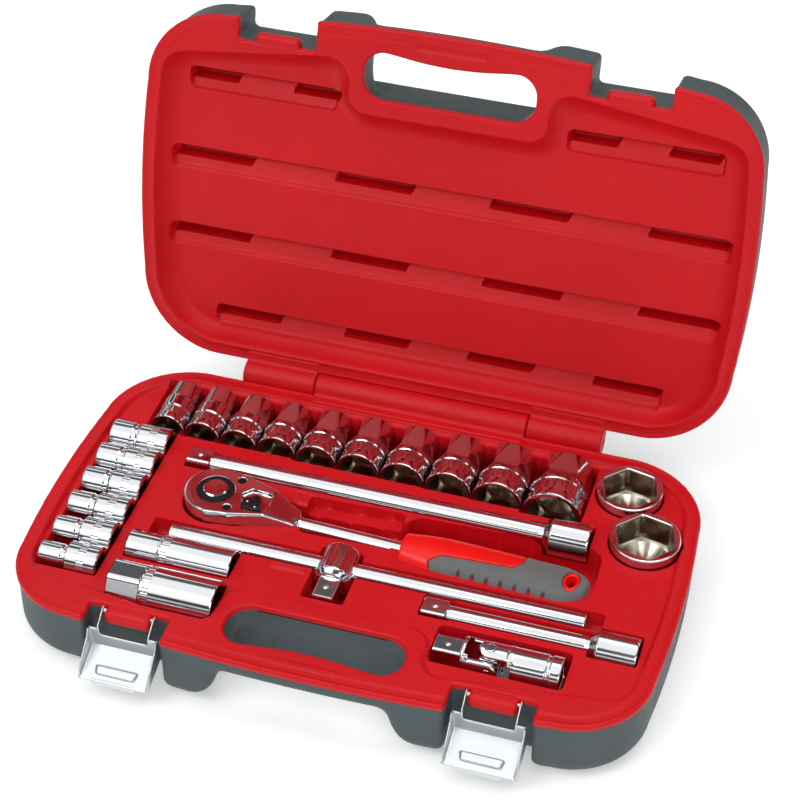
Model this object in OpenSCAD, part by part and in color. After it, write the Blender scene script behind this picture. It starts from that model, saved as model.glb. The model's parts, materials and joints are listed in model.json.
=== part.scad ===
// Socket wrench set in a double-wall carrying case.
// Millimetres, Z up. X runs along the case, Y to the hinge side.
// The origin is the centre of the base's underside.
// The hinge line lies in the rim plane; base and tools are drawn from it.

/* [Case outline] */
// half width of the rim where the corners end
half_w = 187; // [170:1:210]
// distance from hinge line to the front corners' tangent line
front_y = 229.5; // [210:0.5:250]
// distance from hinge line to the back edge of the rim
back_y = 8; // [7:0.5:12]
// radius of the front corners
corner_f = 46; // [30:1:60]
// radius of the back corners
corner_b = 52; // [30:1:60]
// how far the front edge bows out
bow_f = 8.8; // [2:0.2:12]
// how far each side edge bows out
bow_s = 3; // [1:0.2:6]

/* [Case depth] */
// height of the base from underside to rim plane
base_h = 44; // [42:0.5:60]
// height of the lid from rim plane to its top
lid_h = 40; // [32:0.5:60]
// wall of the grey outer shells
shell_t = 2.4; // [1.6:0.1:4]
// wall of the red liners
liner_t = 2; // [1.4:0.1:3]
// angle of the lid from closed to its open stop
lid_open = 103; // [90:1:115]
// drop of the tray floor below the rim plane
deck_drop = 3; // [1:0.5:6]
// depth of the lid panel recess
lid_drop = 12; // [11.5:0.5:16]
// width of the flat land around the rim
land = 8.5; // [7:0.5:12]
// gap between the two closed rims
part_gap = 0.2; // [0.1:0.05:0.5]
// edge break along the shells' outer edge
shell_round = 9; // [4:0.5:14]

/* [Carrying handle] */
// half length of the hand opening
grip_half = 52; // [45:1:62]
// distance from hinge line to the near edge of the opening
grip_in = 194; // [185:0.5:200]
// width of the hand opening
grip_gap = 29; // [24:0.5:34]
// swell of the grip bar into the opening
grip_swell = 3.3; // [0:0.1:5]
// depth of the grip bar in each half
grip_depth = 14; // [10:0.5:20]

/* [Hinge] */
// half length of the long centre knuckle
knuckle_half = 68; // [50:1:90]
// length of each lid knuckle
knuckle_lid = 47; // [30:1:60]
// outer radius of the knuckles
knuckle_r = 8.6; // [7:0.1:10]
// diameter of the hinge pin
pin_d = 4; // [3:0.1:6]
// radial running clearance of pins in their bores
run_clr = 0.08; // [0.02:0.01:0.1]
// end gap between knuckles
knuckle_gap = 0.6; // [0.3:0.1:1.5]

/* [Latches] */
// distance of each latch from the centre of the case
latch_x = 106; // [90:1:120]
// width of the notch around a latch
notch_w = 48; // [44:1:56]
// width of the tab between the latch arms
tab_w = 28; // [22:1:32]
// width of the latch plate
latch_w = 42; // [36:1:45]
// thickness of the latch sheet
latch_t = 1.2; // [0.8:0.1:2]
// length of the plate beyond its bend
latch_len = 24; // [16:0.5:30]
// swing of the latch from hanging to closed
latch_swing = 130; // [100:1:150]

/* [Sockets] */
// outer diameter of the six small sockets' drive ends
small_od = 21.2; // [20.4:0.1:22]
// length of the six small sockets
small_len = 37; // [34:0.5:42]
// pitch of the six small sockets
small_pitch = 21.7; // [21.5:0.1:24]
// side of the square drive
drive_sq = 12.7; // [12.5:0.05:12.75]
// gap between neighbouring sockets of the back row
row_gap = 0.5; // [0.4:0.1:2]
// distance from hinge line to the back ends of the row
row_back = 22; // [21:0.5:26]
// outer diameter of the larger upright socket
up_od = 42; // [38:0.5:44]
// length of the upright sockets
up_len = 42; // [40:0.5:43]
// length of the long spark plug sockets
deep_len = 64; // [60:0.5:68]
// clearance between a tool and its pocket
fit = 0.8; // [0.5:0.1:1.5]

/* [Bars] */
// length of the long extension and of the sliding bar
long_len = 250; // [240:1:254]
// length of the short extension
short_len = 125; // [115:1:128]
// diameter of the extension shafts
shaft_d = 13; // [11:0.5:14]
// diameter of the extensions' socket ends
boss_d = 22.5; // [20:0.5:24]
// diameter of the sliding bar
bar_d = 12.4; // [11:0.2:13]
// diameter of the sliding head
thead_d = 24; // [22:0.5:26]
// length of the universal joint
ujoint_len = 73; // [70:0.5:76]
// length of the ratchet
ratchet_len = 248; // [240:1:252]
// radius of the ratchet's head
head_r = 19; // [17:0.5:21]
// turn of the ratchet in its pocket
ratchet_turn = 2.2; // [0:0.1:4]
// height every tool can be lifted out
tool_lift = 70; // [50:5:90]

/* [Hidden] */
$fn = 72;
eps = 0.01;
hinge_y = (front_y + bow_f + back_y) / 2 - 4;
rim_z = base_h;
small_no = [10, 11, 12, 13, 14, 15];
small_nose = [15.2, 16.4, 17.6, 18.6, 19.6, 20.6];
row_no = [16, 17, 18, 19, 20, 21, 22, 23, 24, 27];
row_od = [22, 23, 23.6, 25, 26, 27, 28, 29, 31.5, 36.4];
row_len = [37, 37.5, 38, 38, 39, 39, 39.5, 40, 41, 43];
small_x = -156;
small_y0 = -184.8;
row_x0 = -147;
up2_od = up_od - 2.4;
up_x = 158.5;
up_y = -77;
up2_x = 141;
up2_y = -38.6;
axis_z = -5;
row_axis_z = -8;
deep1_x = -128;
deep2_x = -126;
deep1_z = -6;
short_z = -8;
bar_z = -7;
uj_z = -8;
deep1_od = 22;
deep2_od = 28;
deep1_y = -164;
deep2_y = -195;
long_y = -84.1;
long_x = -122.3;
short_x = 48.5;
short_y = -162;
bar_x = -110;
bar_y = -146.4;
thead_x = -7;
uj_x = 63.5;
uj_y = -188;
rat_x = -92.8;
rat_y = -115.5;
rat_top = 6;
rat_bot = -13;
handle_z = -7.2;
shank_r = 5.4;
deck = -deck_drop;
pivot_y = -219.5;
pivot_z = -2.8;
tab_y = -224.3;
tab_h = 9.6;
lid_tab_y = -222.4;
lid_tab_h = 8.2;
notch_y = -217;
latch_r = 12.9;
// latch profile from pivot: edge, bend, free end (y, z)
latch_e = [-10.1, -8];
latch_b = [-9.2, -21.4];
latch_f = [latch_b[0] - latch_len * cos(22), latch_b[1] - latch_len * sin(22)];

function row_x(i) = i == 0 ? row_x0 : row_x(i - 1) + (row_od[i - 1] + row_od[i]) / 2 + row_gap;
function small_yy(i) = small_y0 + i * small_pitch;

/* ---------- placing ---------- */
module at_rim() translate([0, hinge_y, rim_z]) children();
module at_lid() at_rim() rotate([-lid_open, 0, 0]) children();
module along_x() rotate([0, 90, 0]) children();
module cyl_x(x0, x1, y, z, r) translate([x0, y, z]) along_x() cylinder(r = r, h = x1 - x0);
module cyl_y(y0, y1, x, z, r) translate([x, y1, z]) rotate([90, 0, 0]) cylinder(r = r, h = y1 - y0);
module box(x0, x1, y0, y1, z0, z1) translate([x0, y0, z0]) cube([x1 - x0, y1 - y0, z1 - z0]);

/* ---------- outlines ---------- */
module rim2d(i = 0) {
  rf = (pow(half_w - corner_f, 2) + bow_f * bow_f) / (2 * bow_f);
  sh = (front_y - corner_f - back_y - corner_b) / 2;
  sm = (front_y - corner_f + back_y + corner_b) / 2;
  rs = (sh * sh + bow_s * bow_s) / (2 * bow_s);
  polygon([[-(half_w - i), -(front_y - corner_f)], [-(half_w - corner_f), -(front_y - i)],
    [half_w - corner_f, -(front_y - i)], [half_w - i, -(front_y - corner_f)],
    [half_w - i, -(back_y + corner_b)], [half_w - corner_b, -(back_y + i)],
    [-(half_w - corner_b), -(back_y + i)], [-(half_w - i), -(back_y + corner_b)]]);
  for (s = [-1, 1]) {
    translate([s * (half_w - corner_f), -(front_y - corner_f)]) circle(corner_f - i);
    translate([s * (half_w - corner_b), -(back_y + corner_b)]) circle(corner_b - i);
    intersection() {
      translate([s * (half_w + bow_s - rs), -sm]) circle(rs - i, $fn = 360);
      translate([s * (half_w - 4) - 8, -sm - sh]) square([16, 2 * sh]);
    }
  }
  intersection() {
    translate([0, -(front_y + bow_f) + rf]) circle(rf - i, $fn = 720);
    translate([-(half_w - corner_f), -(front_y + bow_f) - 1]) square([2 * (half_w - corner_f), bow_f + 20]);
  }
}

module slot2d(hx, y0, y1, r) {
  translate([-hx + r, y0]) square([2 * (hx - r), y1 - y0]);
  translate([-hx, y0 + r]) square([2 * hx, y1 - y0 - 2 * r]);
  for (x = [-hx + r, hx - r], y = [y0 + r, y1 - r]) translate([x, y]) circle(r);
}

module grip2d(i = 0) {
  difference() {
    slot2d(grip_half - i, -(grip_in + grip_gap) + i, -grip_in - i, 13 - i);
    translate([0, -(grip_in + grip_gap) - 206 + grip_swell + i]) circle(206, $fn = 360);
  }
}

// area removed under the grip bar, seen from the front
module bay2d(h, g = 0) {
  hx = grip_half + 4;
  translate([-hx - g, -h - 1]) square([2 * (hx + g), h + 1 - grip_depth + g]);
  for (s = [-1, 1]) difference() {
    translate([s > 0 ? hx - eps : -hx - 20 + eps, -h - 1]) square([20, 19]);
    translate([s * (hx + 20), -h + 18]) circle(20 - g);
  }
}

module bay(h, g = 0) {
  translate([0, -grip_in + 1 + g, 0]) rotate([90, 0, 0]) linear_extrude(60) bay2d(h, g);
}

// room inside a shell, kept g away from its walls
module room(h, g = 0) {
  difference() {
    translate([0, 0, -h + shell_t + g]) linear_extrude(h) rim2d(1 + shell_t + shell_round * 0.3 + g);
    bay(h, shell_t + g);
    box(-grip_half - 4 - shell_t - g, grip_half + 4 + shell_t + g, -260, -grip_in + 1 + shell_t + g, -h, 1);
    for (s = [-1, 1])
      box(s * latch_x - notch_w / 2 - shell_t - g, s * latch_x + notch_w / 2 + shell_t + g,
        -260, notch_y + shell_t + g, -h, 1);
  }
}

module notches(h) {
  for (s = [-1, 1]) box(s * latch_x - notch_w / 2, s * latch_x + notch_w / 2, -270, notch_y, -h - 1, 1);
}

// solid half case below its rim plane, with rounded lower edge
module half_case(h, top) {
  r = shell_round;
  difference() {
    union() {
      translate([0, 0, -h + r]) linear_extrude(h - r + top) rim2d(1);
      hull() {
        translate([0, 0, -h + r]) linear_extrude(0.2) rim2d(1.15);
        translate([0, 0, -h + r * 0.3]) linear_extrude(0.1) rim2d(1 + r * 0.3);
        translate([0, 0, -h]) linear_extrude(0.1) rim2d(1 + r);
      }
    }
    bay(h);
    notches(h);
    translate([0, 0, -h - 1]) linear_extrude(h + 2) grip2d();
  }
}

/* ---------- shells ---------- */
module shell_pan(h) {
  difference() {
    half_case(h, -liner_t - 0.1 - part_gap / 2);
    room(h);
  }
}

module knuckle_room(sides) {
  if (sides) for (s = [-1, 1]) translate([s > 0 ? knuckle_half : -knuckle_half - knuckle_lid - 1, 0, 0])
    cyl_x(0, knuckle_lid + 1, 0, 0, knuckle_r + 0.9);
  else cyl_x(-knuckle_half - knuckle_gap - 0.4, knuckle_half + knuckle_gap + 0.4, 0, 0, knuckle_r + 0.9);
}

module base_shell() color([0.27, 0.3, 0.31]) at_rim() difference() {
  shell_pan(base_h);
  knuckle_room(true);
  box(-knuckle_half - 1, knuckle_half + 1, -15.2, 5, -knuckle_r - 0.2, 1);
}

module lid_shell() color([0.27, 0.3, 0.31]) at_lid() mirror([0, 0, 1]) difference() {
  shell_pan(lid_h);
  knuckle_room(false);
  for (s = [-1, 1]) translate([s * (knuckle_half + knuckle_lid / 2 + knuckle_gap), 0, 0])
    box(-knuckle_lid / 2 - 1, knuckle_lid / 2 + 1, -15.2, 5, -knuckle_r - 0.2, 1);
}

/* ---------- pocket shapes, grown by g ---------- */
module trough_x(x0, x1, y, z, r, g) {
  cyl_x(x0 - g, x1 + g, y, z, r + g);
  box(x0 - g, x1 + g, y - r - g, y + r + g, z, 12);
}
module trough_y(y0, y1, x, z, r, g) {
  cyl_y(y0 - g, y1 + g, x, z, r + g);
  box(x - r - g, x + r + g, y0 - g, y1 + g, z, 12);
}

// outline of the ratchet's tapering neck, grown by g
module ratchet_neck(g) polygon([[4, 18.4 + g], [15, 17.2 + g], [32, 11.8 + g], [46, 7.6 + g], [50 + g, 7.6 + g],
  [50 + g, -7.6 - g], [46, -7.6 - g], [32, -11.8 - g], [15, -17.2 - g], [4, -18.4 - g]]);

module pockets(g) {
  for (i = [0:5])
    trough_x(small_x - small_len / 2, small_x + small_len / 2, small_yy(i), axis_z, small_od / 2, g);
  for (i = [0:9]) trough_y(-row_back - row_len[i], -row_back, row_x(i), row_axis_z, row_od[i] / 2, g);
  translate([up_x, up_y, rim_floor()]) translate([0, 0, -g]) cylinder(r = up_od / 2 + g, h = 60);
  translate([up2_x, up2_y, rim_floor()]) translate([0, 0, -g]) cylinder(r = up2_od / 2 + g, h = 60);
  trough_x(deep1_x, deep1_x + deep_len, deep1_y, deep1_z, deep1_od / 2, g);
  trough_x(deep2_x, deep2_x + deep_len, deep2_y, axis_z, deep2_od / 2, g);
  trough_x(long_x, long_x + long_len, long_y, axis_z, shaft_d / 2, g);
  trough_x(long_x + long_len - 27, long_x + long_len, long_y, axis_z, boss_d / 2, g);
  trough_x(long_x, long_x + 17, long_y, axis_z, drive_sq * 0.66 + 0.2, g);
  trough_x(short_x, short_x + short_len, short_y, short_z, shaft_d / 2, g);
  trough_x(short_x + short_len - 27, short_x + short_len, short_y, short_z, boss_d / 2, g);
  trough_x(short_x, short_x + 17, short_y, short_z, drive_sq * 0.66 + 0.2, g);
  trough_x(bar_x - 11, bar_x + long_len + 9, bar_y, bar_z, bar_d / 2, g);
  trough_y(bar_y - 29, bar_y + 11.5, thead_x, bar_z, thead_d / 2, g);
  box(uj_x - 1 - g, uj_x + ujoint_len + 2 + g, uj_y - 14 - g, uj_y + 13.4 + g, uj_z - 13 - g, 12);
  translate([rat_x, rat_y, 0]) rotate([0, 0, -ratchet_turn]) {
    translate([0, 0, rat_bot - 0.3 - g]) cylinder(r = head_r + 0.4 + g, h = 40);
    translate([0, 0, rat_bot - 17.5 - g]) cylinder(r = 10.4 + g, h = 30);
    translate([0, 0, rat_bot - 0.3 - g]) linear_extrude(30) ratchet_neck(0.8 + g);
    box(40, 118 + g, -8 - g, 8 + g, handle_z - 7.9 - g, 12);
    box(116 - g, ratchet_len - head_r + 1.2 + g, -16.4 - g, 16.4 + g, handle_z - 12 - g, 12);
  }
}
function rim_floor() = -up_len + 3.2;

/* ---------- liners ---------- */
module panel2d(g = 0) {
  difference() {
    intersection() {
      rim2d(land - g);
      translate([0, 8]) rim2d(land - g);
      translate([-200, -260]) square([400, 260 - back_y - 9 + g]);
    }
    slot2d(grip_half + 9.5 - g, -270, -grip_in + 8 - g, 4.4 + liner_t - g);
    for (s = [-1, 1]) translate([s * latch_x, 0])
      slot2d(notch_w / 2 + shell_t + liner_t + 1 - g, -270, notch_y + shell_t + liner_t + 0.6 - g, 2.4 + liner_t - g);
  }
}

module tab(h, y0, w) {
  box(-w / 2, w / 2, y0, notch_y - 0.2, -h, -part_gap / 2);
  box(-w / 2, w / 2, y0, notch_y + 1.5, -liner_t - part_gap / 2, -part_gap / 2);
}

module rim_plate() difference() {
  translate([0, 0, -liner_t - part_gap / 2]) linear_extrude(liner_t) rim2d(0);
  notches(5);
  translate([0, 0, -5]) linear_extrude(10) grip2d();
}

module base_liner() color([0.78, 0.1, 0.13]) at_rim() difference() {
  union() {
    rim_plate();
    translate([0, 0, deck - liner_t]) linear_extrude(deck_drop + liner_t - part_gap / 2) panel2d(liner_t);
    intersection() {
      pockets(fit + liner_t);
      room(base_h, 0.2);
      box(-250, 250, -260, -back_y, -base_h, -liner_t);
    }
    for (s = [-1, 1]) translate([s * latch_x, 0, 0]) tab(tab_h, tab_y, tab_w);
    cyl_x(-knuckle_half, knuckle_half, 0, 0, knuckle_r);
    box(-knuckle_half, knuckle_half, -15, 0, -knuckle_r, -part_gap / 2);
    // locating rib along the grip bar
    box(-19.5, 19.5, -grip_in - grip_gap - 7.6, -grip_in - grip_gap - 5.6, -1, 1.2);
  }
  translate([0, 0, deck]) linear_extrude(10) panel2d(0);
  pockets(fit);
  knuckle_room(true);
  cyl_x(-knuckle_half - 1, knuckle_half + 1, 0, 0, pin_d / 2 + run_clr);
  for (s = [-1, 1]) latch_bores(s);
  translate([64.5, -226, -1.5]) cylinder(d = 3, h = 3);
  // finger wells beside the ratchet shank
  translate([rat_x, rat_y, 0]) rotate([0, 0, -ratchet_turn]) box(54, 112, -13, 17.5, -9.6, 6);
}

module latch_bores(s) {
  for (t = [-1, 1]) translate([s * latch_x + t * (tab_w / 2 - 2) - 2.6, 0, 0])
    cyl_x(0, 5.2, pivot_y, pivot_z, 1.2 + run_clr);
}

// lid slots: x0, x1, distance from hinge to the upper edge, pocket starts
slot_rows = [
  [-163, -71, 191.6, [-163, -98], 30],
  [71, 163, 191.6, [71, 131], 30],
  [-173, 174, 140, [-171, -69, 28, 125], 49],
  [-173, 174, 88.6, [-171, -69, 28, 125], 49],
  [-141, 145, 37.2, [-141, -57, 23, 103], 42]];

module lid_slot(r) {
  // wedge groove, deepest at the edge away from the hinge
  translate([r[0], 0, 0]) rotate([90, 0, 90]) linear_extrude(r[1] - r[0])
    polygon([[-r[2], -lid_drop + 1], [-r[2] + 13.5, -lid_drop + 1], [-r[2] + 13.5, -lid_drop - 0.4],
      [-r[2], -lid_drop - 6]]);
  for (x = r[3]) box(x, x + r[4], -r[2], -r[2] + 7, -lid_drop - 11, -lid_drop + 1);
}
module lid_slot_wall(r) {
  box(r[0] - liner_t, r[1] + liner_t, -r[2] - liner_t, -r[2] + 13.5 + liner_t,
    -lid_drop - 6 - liner_t, -lid_drop - 0.5);
  for (x = r[3]) box(x - liner_t, x + r[4] + liner_t, -r[2] - liner_t, -r[2] + 7 + liner_t,
    -lid_drop - 11 - liner_t, -lid_drop - 0.5);
}

module lid_liner() color([0.78, 0.1, 0.13]) at_lid() mirror([0, 0, 1]) difference() {
  union() {
    rim_plate();
    translate([0, 0, -lid_drop - liner_t]) linear_extrude(lid_drop + liner_t - part_gap / 2) panel2d(liner_t);
    for (r = slot_rows) lid_slot_wall(r);
    for (s = [-1, 1]) translate([s * latch_x, 0, 0]) tab(lid_tab_h, lid_tab_y, tab_w);
    for (s = [-1, 1]) translate([s * (knuckle_half + knuckle_gap + knuckle_lid / 2), 0, 0]) {
      cyl_x(-knuckle_lid / 2, knuckle_lid / 2, 0, 0, knuckle_r);
      box(-knuckle_lid / 2, knuckle_lid / 2, -15, 0, -knuckle_r, -part_gap / 2);
    }
  }
  translate([0, 0, -lid_drop]) linear_extrude(40) panel2d(0);
  for (r = slot_rows) lid_slot(r);
  knuckle_room(false);
  cyl_x(-200, 200, 0, 0, pin_d / 2 + run_clr);
  // groove that takes the base's locating rib
  box(-21.5, 21.5, -grip_in - grip_gap - 8.6, -grip_in - grip_gap - 4.6, -1.4, 1);
  translate([64.5, -226, -1.5]) cylinder(d = 3, h = 3);
}

module hinge_pin() color([0.6, 0.6, 0.62]) at_rim()
  cyl_x(-knuckle_half - knuckle_lid, knuckle_half + knuckle_lid, 0, 0, pin_d / 2);

/* ---------- latches ---------- */
module sheet(a, b) {
  // a flat strip between two profile points, thickness to the outer side
  d = b - a;
  l = norm(d);
  n = [-d[1], d[0]] / l * latch_t;
  polygon([a, b, b + n, a + n]);
}

module latch(s) color([0.75, 0.76, 0.77]) at_rim() translate([s * latch_x, pivot_y, pivot_z]) {
  w = latch_w;
  lip = latch_f + [-0.6, -3.4];
  // plate
  translate([-w / 2, 0, 0]) rotate([90, 0, 90]) linear_extrude(w) {
    polygon([latch_e, latch_b, latch_b - [0, latch_t], latch_b + [latch_t, -latch_t], latch_e + [latch_t, 0]]);
    polygon([latch_b, latch_f, latch_f + [0.4, -latch_t], latch_b + [latch_t, -latch_t]]);
    polygon([latch_f, lip, lip + [latch_t, -0.2], latch_f + [latch_t + 0.6, -latch_t + 0.4]]);
  }
  // side flanges
  for (t = [-1, 1]) translate([t > 0 ? w / 2 - latch_t : -w / 2, 0, 0]) rotate([90, 0, 90])
    linear_extrude(latch_t) polygon([latch_e + [latch_t, 0], latch_b + [latch_t, -latch_t],
      latch_f + [0.4, -latch_t], latch_f + [0.5, 2.5], [latch_f[0] + 5, latch_f[1] + 9.5],
      [latch_b[0] - 5, latch_b[1] + 9.5], [latch_e[0] - 2, latch_e[1] + 2.5]]);
  // arms with their inward pivot ends
  for (t = [-1, 1]) {
    translate([t > 0 ? tab_w / 2 + 0.7 : -tab_w / 2 - 0.7 - latch_t, 0, 0]) rotate([90, 0, 90])
      linear_extrude(latch_t) {
        polygon([latch_e + [0, -3], latch_e + [latch_t, -3], latch_e + [3.6, 0.8], [1.3, -1.6], [-1.4, 1.6],
          latch_e + [0, 2.2]]);
        circle(2.2);
      }
    translate([t > 0 ? tab_w / 2 - 3.4 : -tab_w / 2 - 0.7 - latch_t, 0, 0])
      cyl_x(0, 4.1 + latch_t, 0, 0, 1.2);
  }
  // stamped pull bead
  translate([0, latch_b[0] - latch_len * 0.72 * cos(22), latch_b[1] - latch_len * 0.72 * sin(22)])
    rotate([22, 0, 0]) box(-10, 10, -2.4, 2.4, -0.4, 1.1);
}
module latch_left() latch(-1);
module latch_right() latch(1);

/* ---------- sockets ---------- */
// drawn standing on the drive end, opening up
module drive_hole(d = 14) translate([0, 0, -1]) translate([-6.45, -6.45, 0]) cube([12.9, 12.9, d + 1]);
module hex_hole(af, l, d) translate([0, 0, l - d]) cylinder(d = af / cos(30), h = d + 1, $fn = 6);

module small_socket(i) difference() {
  l = small_len;
  union() {
    cylinder(d = small_od, h = l * 0.52);
    translate([0, 0, l * 0.52 - eps]) cylinder(d1 = small_od, d2 = small_nose[i], h = l * 0.06);
    cylinder(d = small_nose[i], h = l - 0.6);
    translate([0, 0, l - 0.6 - eps]) cylinder(d1 = small_nose[i], d2 = small_nose[i] - 1.2, h = 0.6);
  }
  drive_hole(15);
  hex_hole(small_no[i], l, 14);
  translate([0, 0, 10]) cylinder(d = small_no[i] - 2, h = l);
}

module row_socket(i) difference() {
  l = row_len[i];
  od = row_od[i];
  fd = i < 2 ? od - 1.6 : od - 1;
  union() {
    intersection() {
      cylinder(d = fd, h = l * 0.56);
      if (i >= 2) rotate([0, 0, 30]) cylinder(d = fd / cos(30) * 0.95, h = l, $fn = 6);
    }
    if (i < 2) cylinder(d = fd, h = l * 0.56);
    translate([0, 0, l * 0.56 - eps]) cylinder(d = od, h = l * 0.1);
    translate([0, 0, l * 0.6]) cylinder(d = od - 0.9, h = l * 0.32);
    translate([0, 0, l * 0.92 - eps]) cylinder(d = od, h = l * 0.08 - 0.5);
    translate([0, 0, l - 0.5 - 2 * eps]) cylinder(d1 = od, d2 = od - 1.4, h = 0.5);
  }
  drive_hole(15);
  hex_hole(row_no[i], l, 17);
  translate([0, 0, 10]) cylinder(d = row_no[i] - 2.5, h = l);
}

module upright_socket(od, af, l) difference() {
  union() {
    cylinder(d = od * 0.8, h = l * 0.5);
    translate([0, 0, l * 0.5 - eps]) cylinder(d1 = od * 0.8, d2 = od, h = l * 0.12);
    translate([0, 0, l * 0.62 - 2 * eps]) cylinder(d = od, h = l * 0.38 - 1);
    translate([0, 0, l - 1 - 3 * eps]) cylinder(d1 = od, d2 = od - 2.4, h = 1);
  }
  drive_hole(16);
  hex_hole(af, l, 22);
  translate([0, 0, 12]) cylinder(d = af - 4, h = l);
  translate([0, 0, l - 1.4]) cylinder(d1 = af / cos(30) - 2, d2 = af / cos(30) + 1.4, h = 1.5);
}

module spark_socket(od, af) difference() {
  union() {
    if (od > 25) intersection() {
      cylinder(d = od, h = 20);
      cylinder(d = 25 / cos(30), h = 20, $fn = 6);
    }
    else cylinder(d = od - 0.8, h = 20);
    translate([0, 0, 20 - eps]) cylinder(d = od, h = deep_len - 20 - 0.6);
    translate([0, 0, deep_len - 0.6 - 2 * eps]) cylinder(d1 = od, d2 = od - 1.4, h = 0.6);
  }
  drive_hole(16);
  hex_hole(af, deep_len, 20);
  translate([0, 0, 10]) cylinder(d = af - 1, h = deep_len);
}
module spark_insert(af) difference() {
  translate([0, 0, 26]) cylinder(d = af - 1 - 2 * run_clr, h = 16);
  cylinder(d = af - 6, h = deep_len);
}

module place_small(i) at_rim() translate([small_x + small_len / 2, small_yy(i), axis_z])
  rotate([0, -90, 0]) children();
module place_row(i) at_rim() translate([row_x(i), -row_back, row_axis_z]) rotate([90, 0, 0]) children();
module place_deep1() at_rim() translate([deep1_x, deep1_y, deep1_z]) rotate([0, 90, 0]) children();
module place_deep2() at_rim() translate([deep2_x, deep2_y, axis_z]) rotate([0, 90, 0]) children();

chrome = [0.8, 0.8, 0.82];
steel = [0.6, 0.6, 0.62];
module socket_10() color(chrome) place_small(0) small_socket(0);
module socket_11() color(chrome) place_small(1) small_socket(1);
module socket_12() color(chrome) place_small(2) small_socket(2);
module socket_13() color(chrome) place_small(3) small_socket(3);
module socket_14() color(chrome) place_small(4) small_socket(4);
module socket_15() color(chrome) place_small(5) small_socket(5);
module socket_16() color(chrome) place_row(0) row_socket(0);
module socket_17() color(chrome) place_row(1) row_socket(1);
module socket_18() color(chrome) place_row(2) row_socket(2);
module socket_19() color(chrome) place_row(3) row_socket(3);
module socket_20() color(chrome) place_row(4) row_socket(4);
module socket_21() color(chrome) place_row(5) row_socket(5);
module socket_22() color(chrome) place_row(6) row_socket(6);
module socket_23() color(chrome) place_row(7) row_socket(7);
module socket_24() color(chrome) place_row(8) row_socket(8);
module socket_27() color(chrome) place_row(9) row_socket(9);
module socket_30() color(chrome) at_rim() translate([up2_x, up2_y, rim_floor()]) upright_socket(up2_od, 30, up_len);
module socket_32() color(chrome) at_rim() translate([up_x, up_y, rim_floor()]) upright_socket(up_od, 32, up_len);
module spark_socket_16() color(chrome) place_deep1() spark_socket(deep1_od, 16);
module spark_socket_21() color(chrome) place_deep2() spark_socket(deep2_od, 20.8);
module spark_insert_16() color([0.1, 0.1, 0.1]) place_deep1() spark_insert(16);
module spark_insert_21() color([0.1, 0.1, 0.1]) place_deep2() spark_insert(20.8);

/* ---------- extensions ---------- */
// lying along +Z from the square end
module square_end(l) difference() {
  intersection() {
    translate([-drive_sq / 2, -drive_sq / 2, 0]) cube([drive_sq, drive_sq, l]);
    cylinder(d = drive_sq * 1.32, h = l);
  }
  translate([-drive_sq / 2 + 1.7, 0, 8]) sphere(r = 2.5 + run_clr);
  translate([-drive_sq / 2 - 1, 0, 8]) along_x() cylinder(r = 2.2, h = 2.2);
}
// spring ball standing proud of one face of the square
module square_ball() translate([-drive_sq / 2 + 1.7, 0, 8]) sphere(r = 2.5);

module extension(l) difference() {
  union() {
    square_end(16);
    translate([0, 0, 16 - eps]) cylinder(d = shaft_d, h = l - 40);
    translate([0, 0, l - 27]) cylinder(d1 = shaft_d, d2 = boss_d, h = 4);
    translate([0, 0, l - 23 - eps]) cylinder(d = boss_d, h = 22.4);
    translate([0, 0, l - 0.6 - 2 * eps]) cylinder(d1 = boss_d, d2 = boss_d - 1.2, h = 0.6);
  }
  translate([-6.45, -6.45, l - 16]) cube([12.9, 12.9, 17]);
}
module extension_long() color(chrome) at_rim() translate([long_x, long_y, axis_z]) along_x() extension(long_len);
module extension_short() color(chrome) at_rim() translate([short_x, short_y, short_z]) rotate([0, 90, 0])
  extension(short_len);

module ball_long() color(steel) at_rim() translate([long_x, long_y, axis_z]) along_x() square_ball();
module ball_short() color(steel) at_rim() translate([short_x, short_y, short_z]) along_x() square_ball();

/* ---------- sliding T-handle ---------- */
module at_thead() at_rim() translate([thead_x, bar_y + 11.5, bar_z]) rotate([90, 0, 0]) children();
module thead_end() translate([0, 0, 40.3]) rotate([0, 0, -90]) mirror([0, 0, 1]) children();
module tbar_head() color(chrome) at_thead() difference() {
  union() {
    cylinder(d1 = thead_d - 2, d2 = thead_d, h = 1);
    translate([0, 0, 1 - eps]) cylinder(d = thead_d, h = 21);
    translate([0, 0, 22 - 2 * eps]) cylinder(d1 = thead_d, d2 = 18, h = 2.6);
    thead_end() square_end(15.8);
  }
  translate([0, 0, 11.5]) rotate([0, 90, 0]) translate([0, 0, -20]) cylinder(r = bar_d / 2 + run_clr, h = 40);
}
module ball_tbar() color(steel) at_thead() thead_end() square_ball();
module tbar_bar() color(chrome) at_rim() {
  cyl_x(bar_x + 0.8, bar_x + long_len - 0.8, bar_y, bar_z, bar_d / 2);
  for (t = [0, 1]) translate([bar_x + t * long_len, bar_y, bar_z]) rotate([0, t ? -90 : 90, 0])
    cylinder(d1 = bar_d - 2, d2 = bar_d, h = 0.8 + eps);
}

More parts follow.
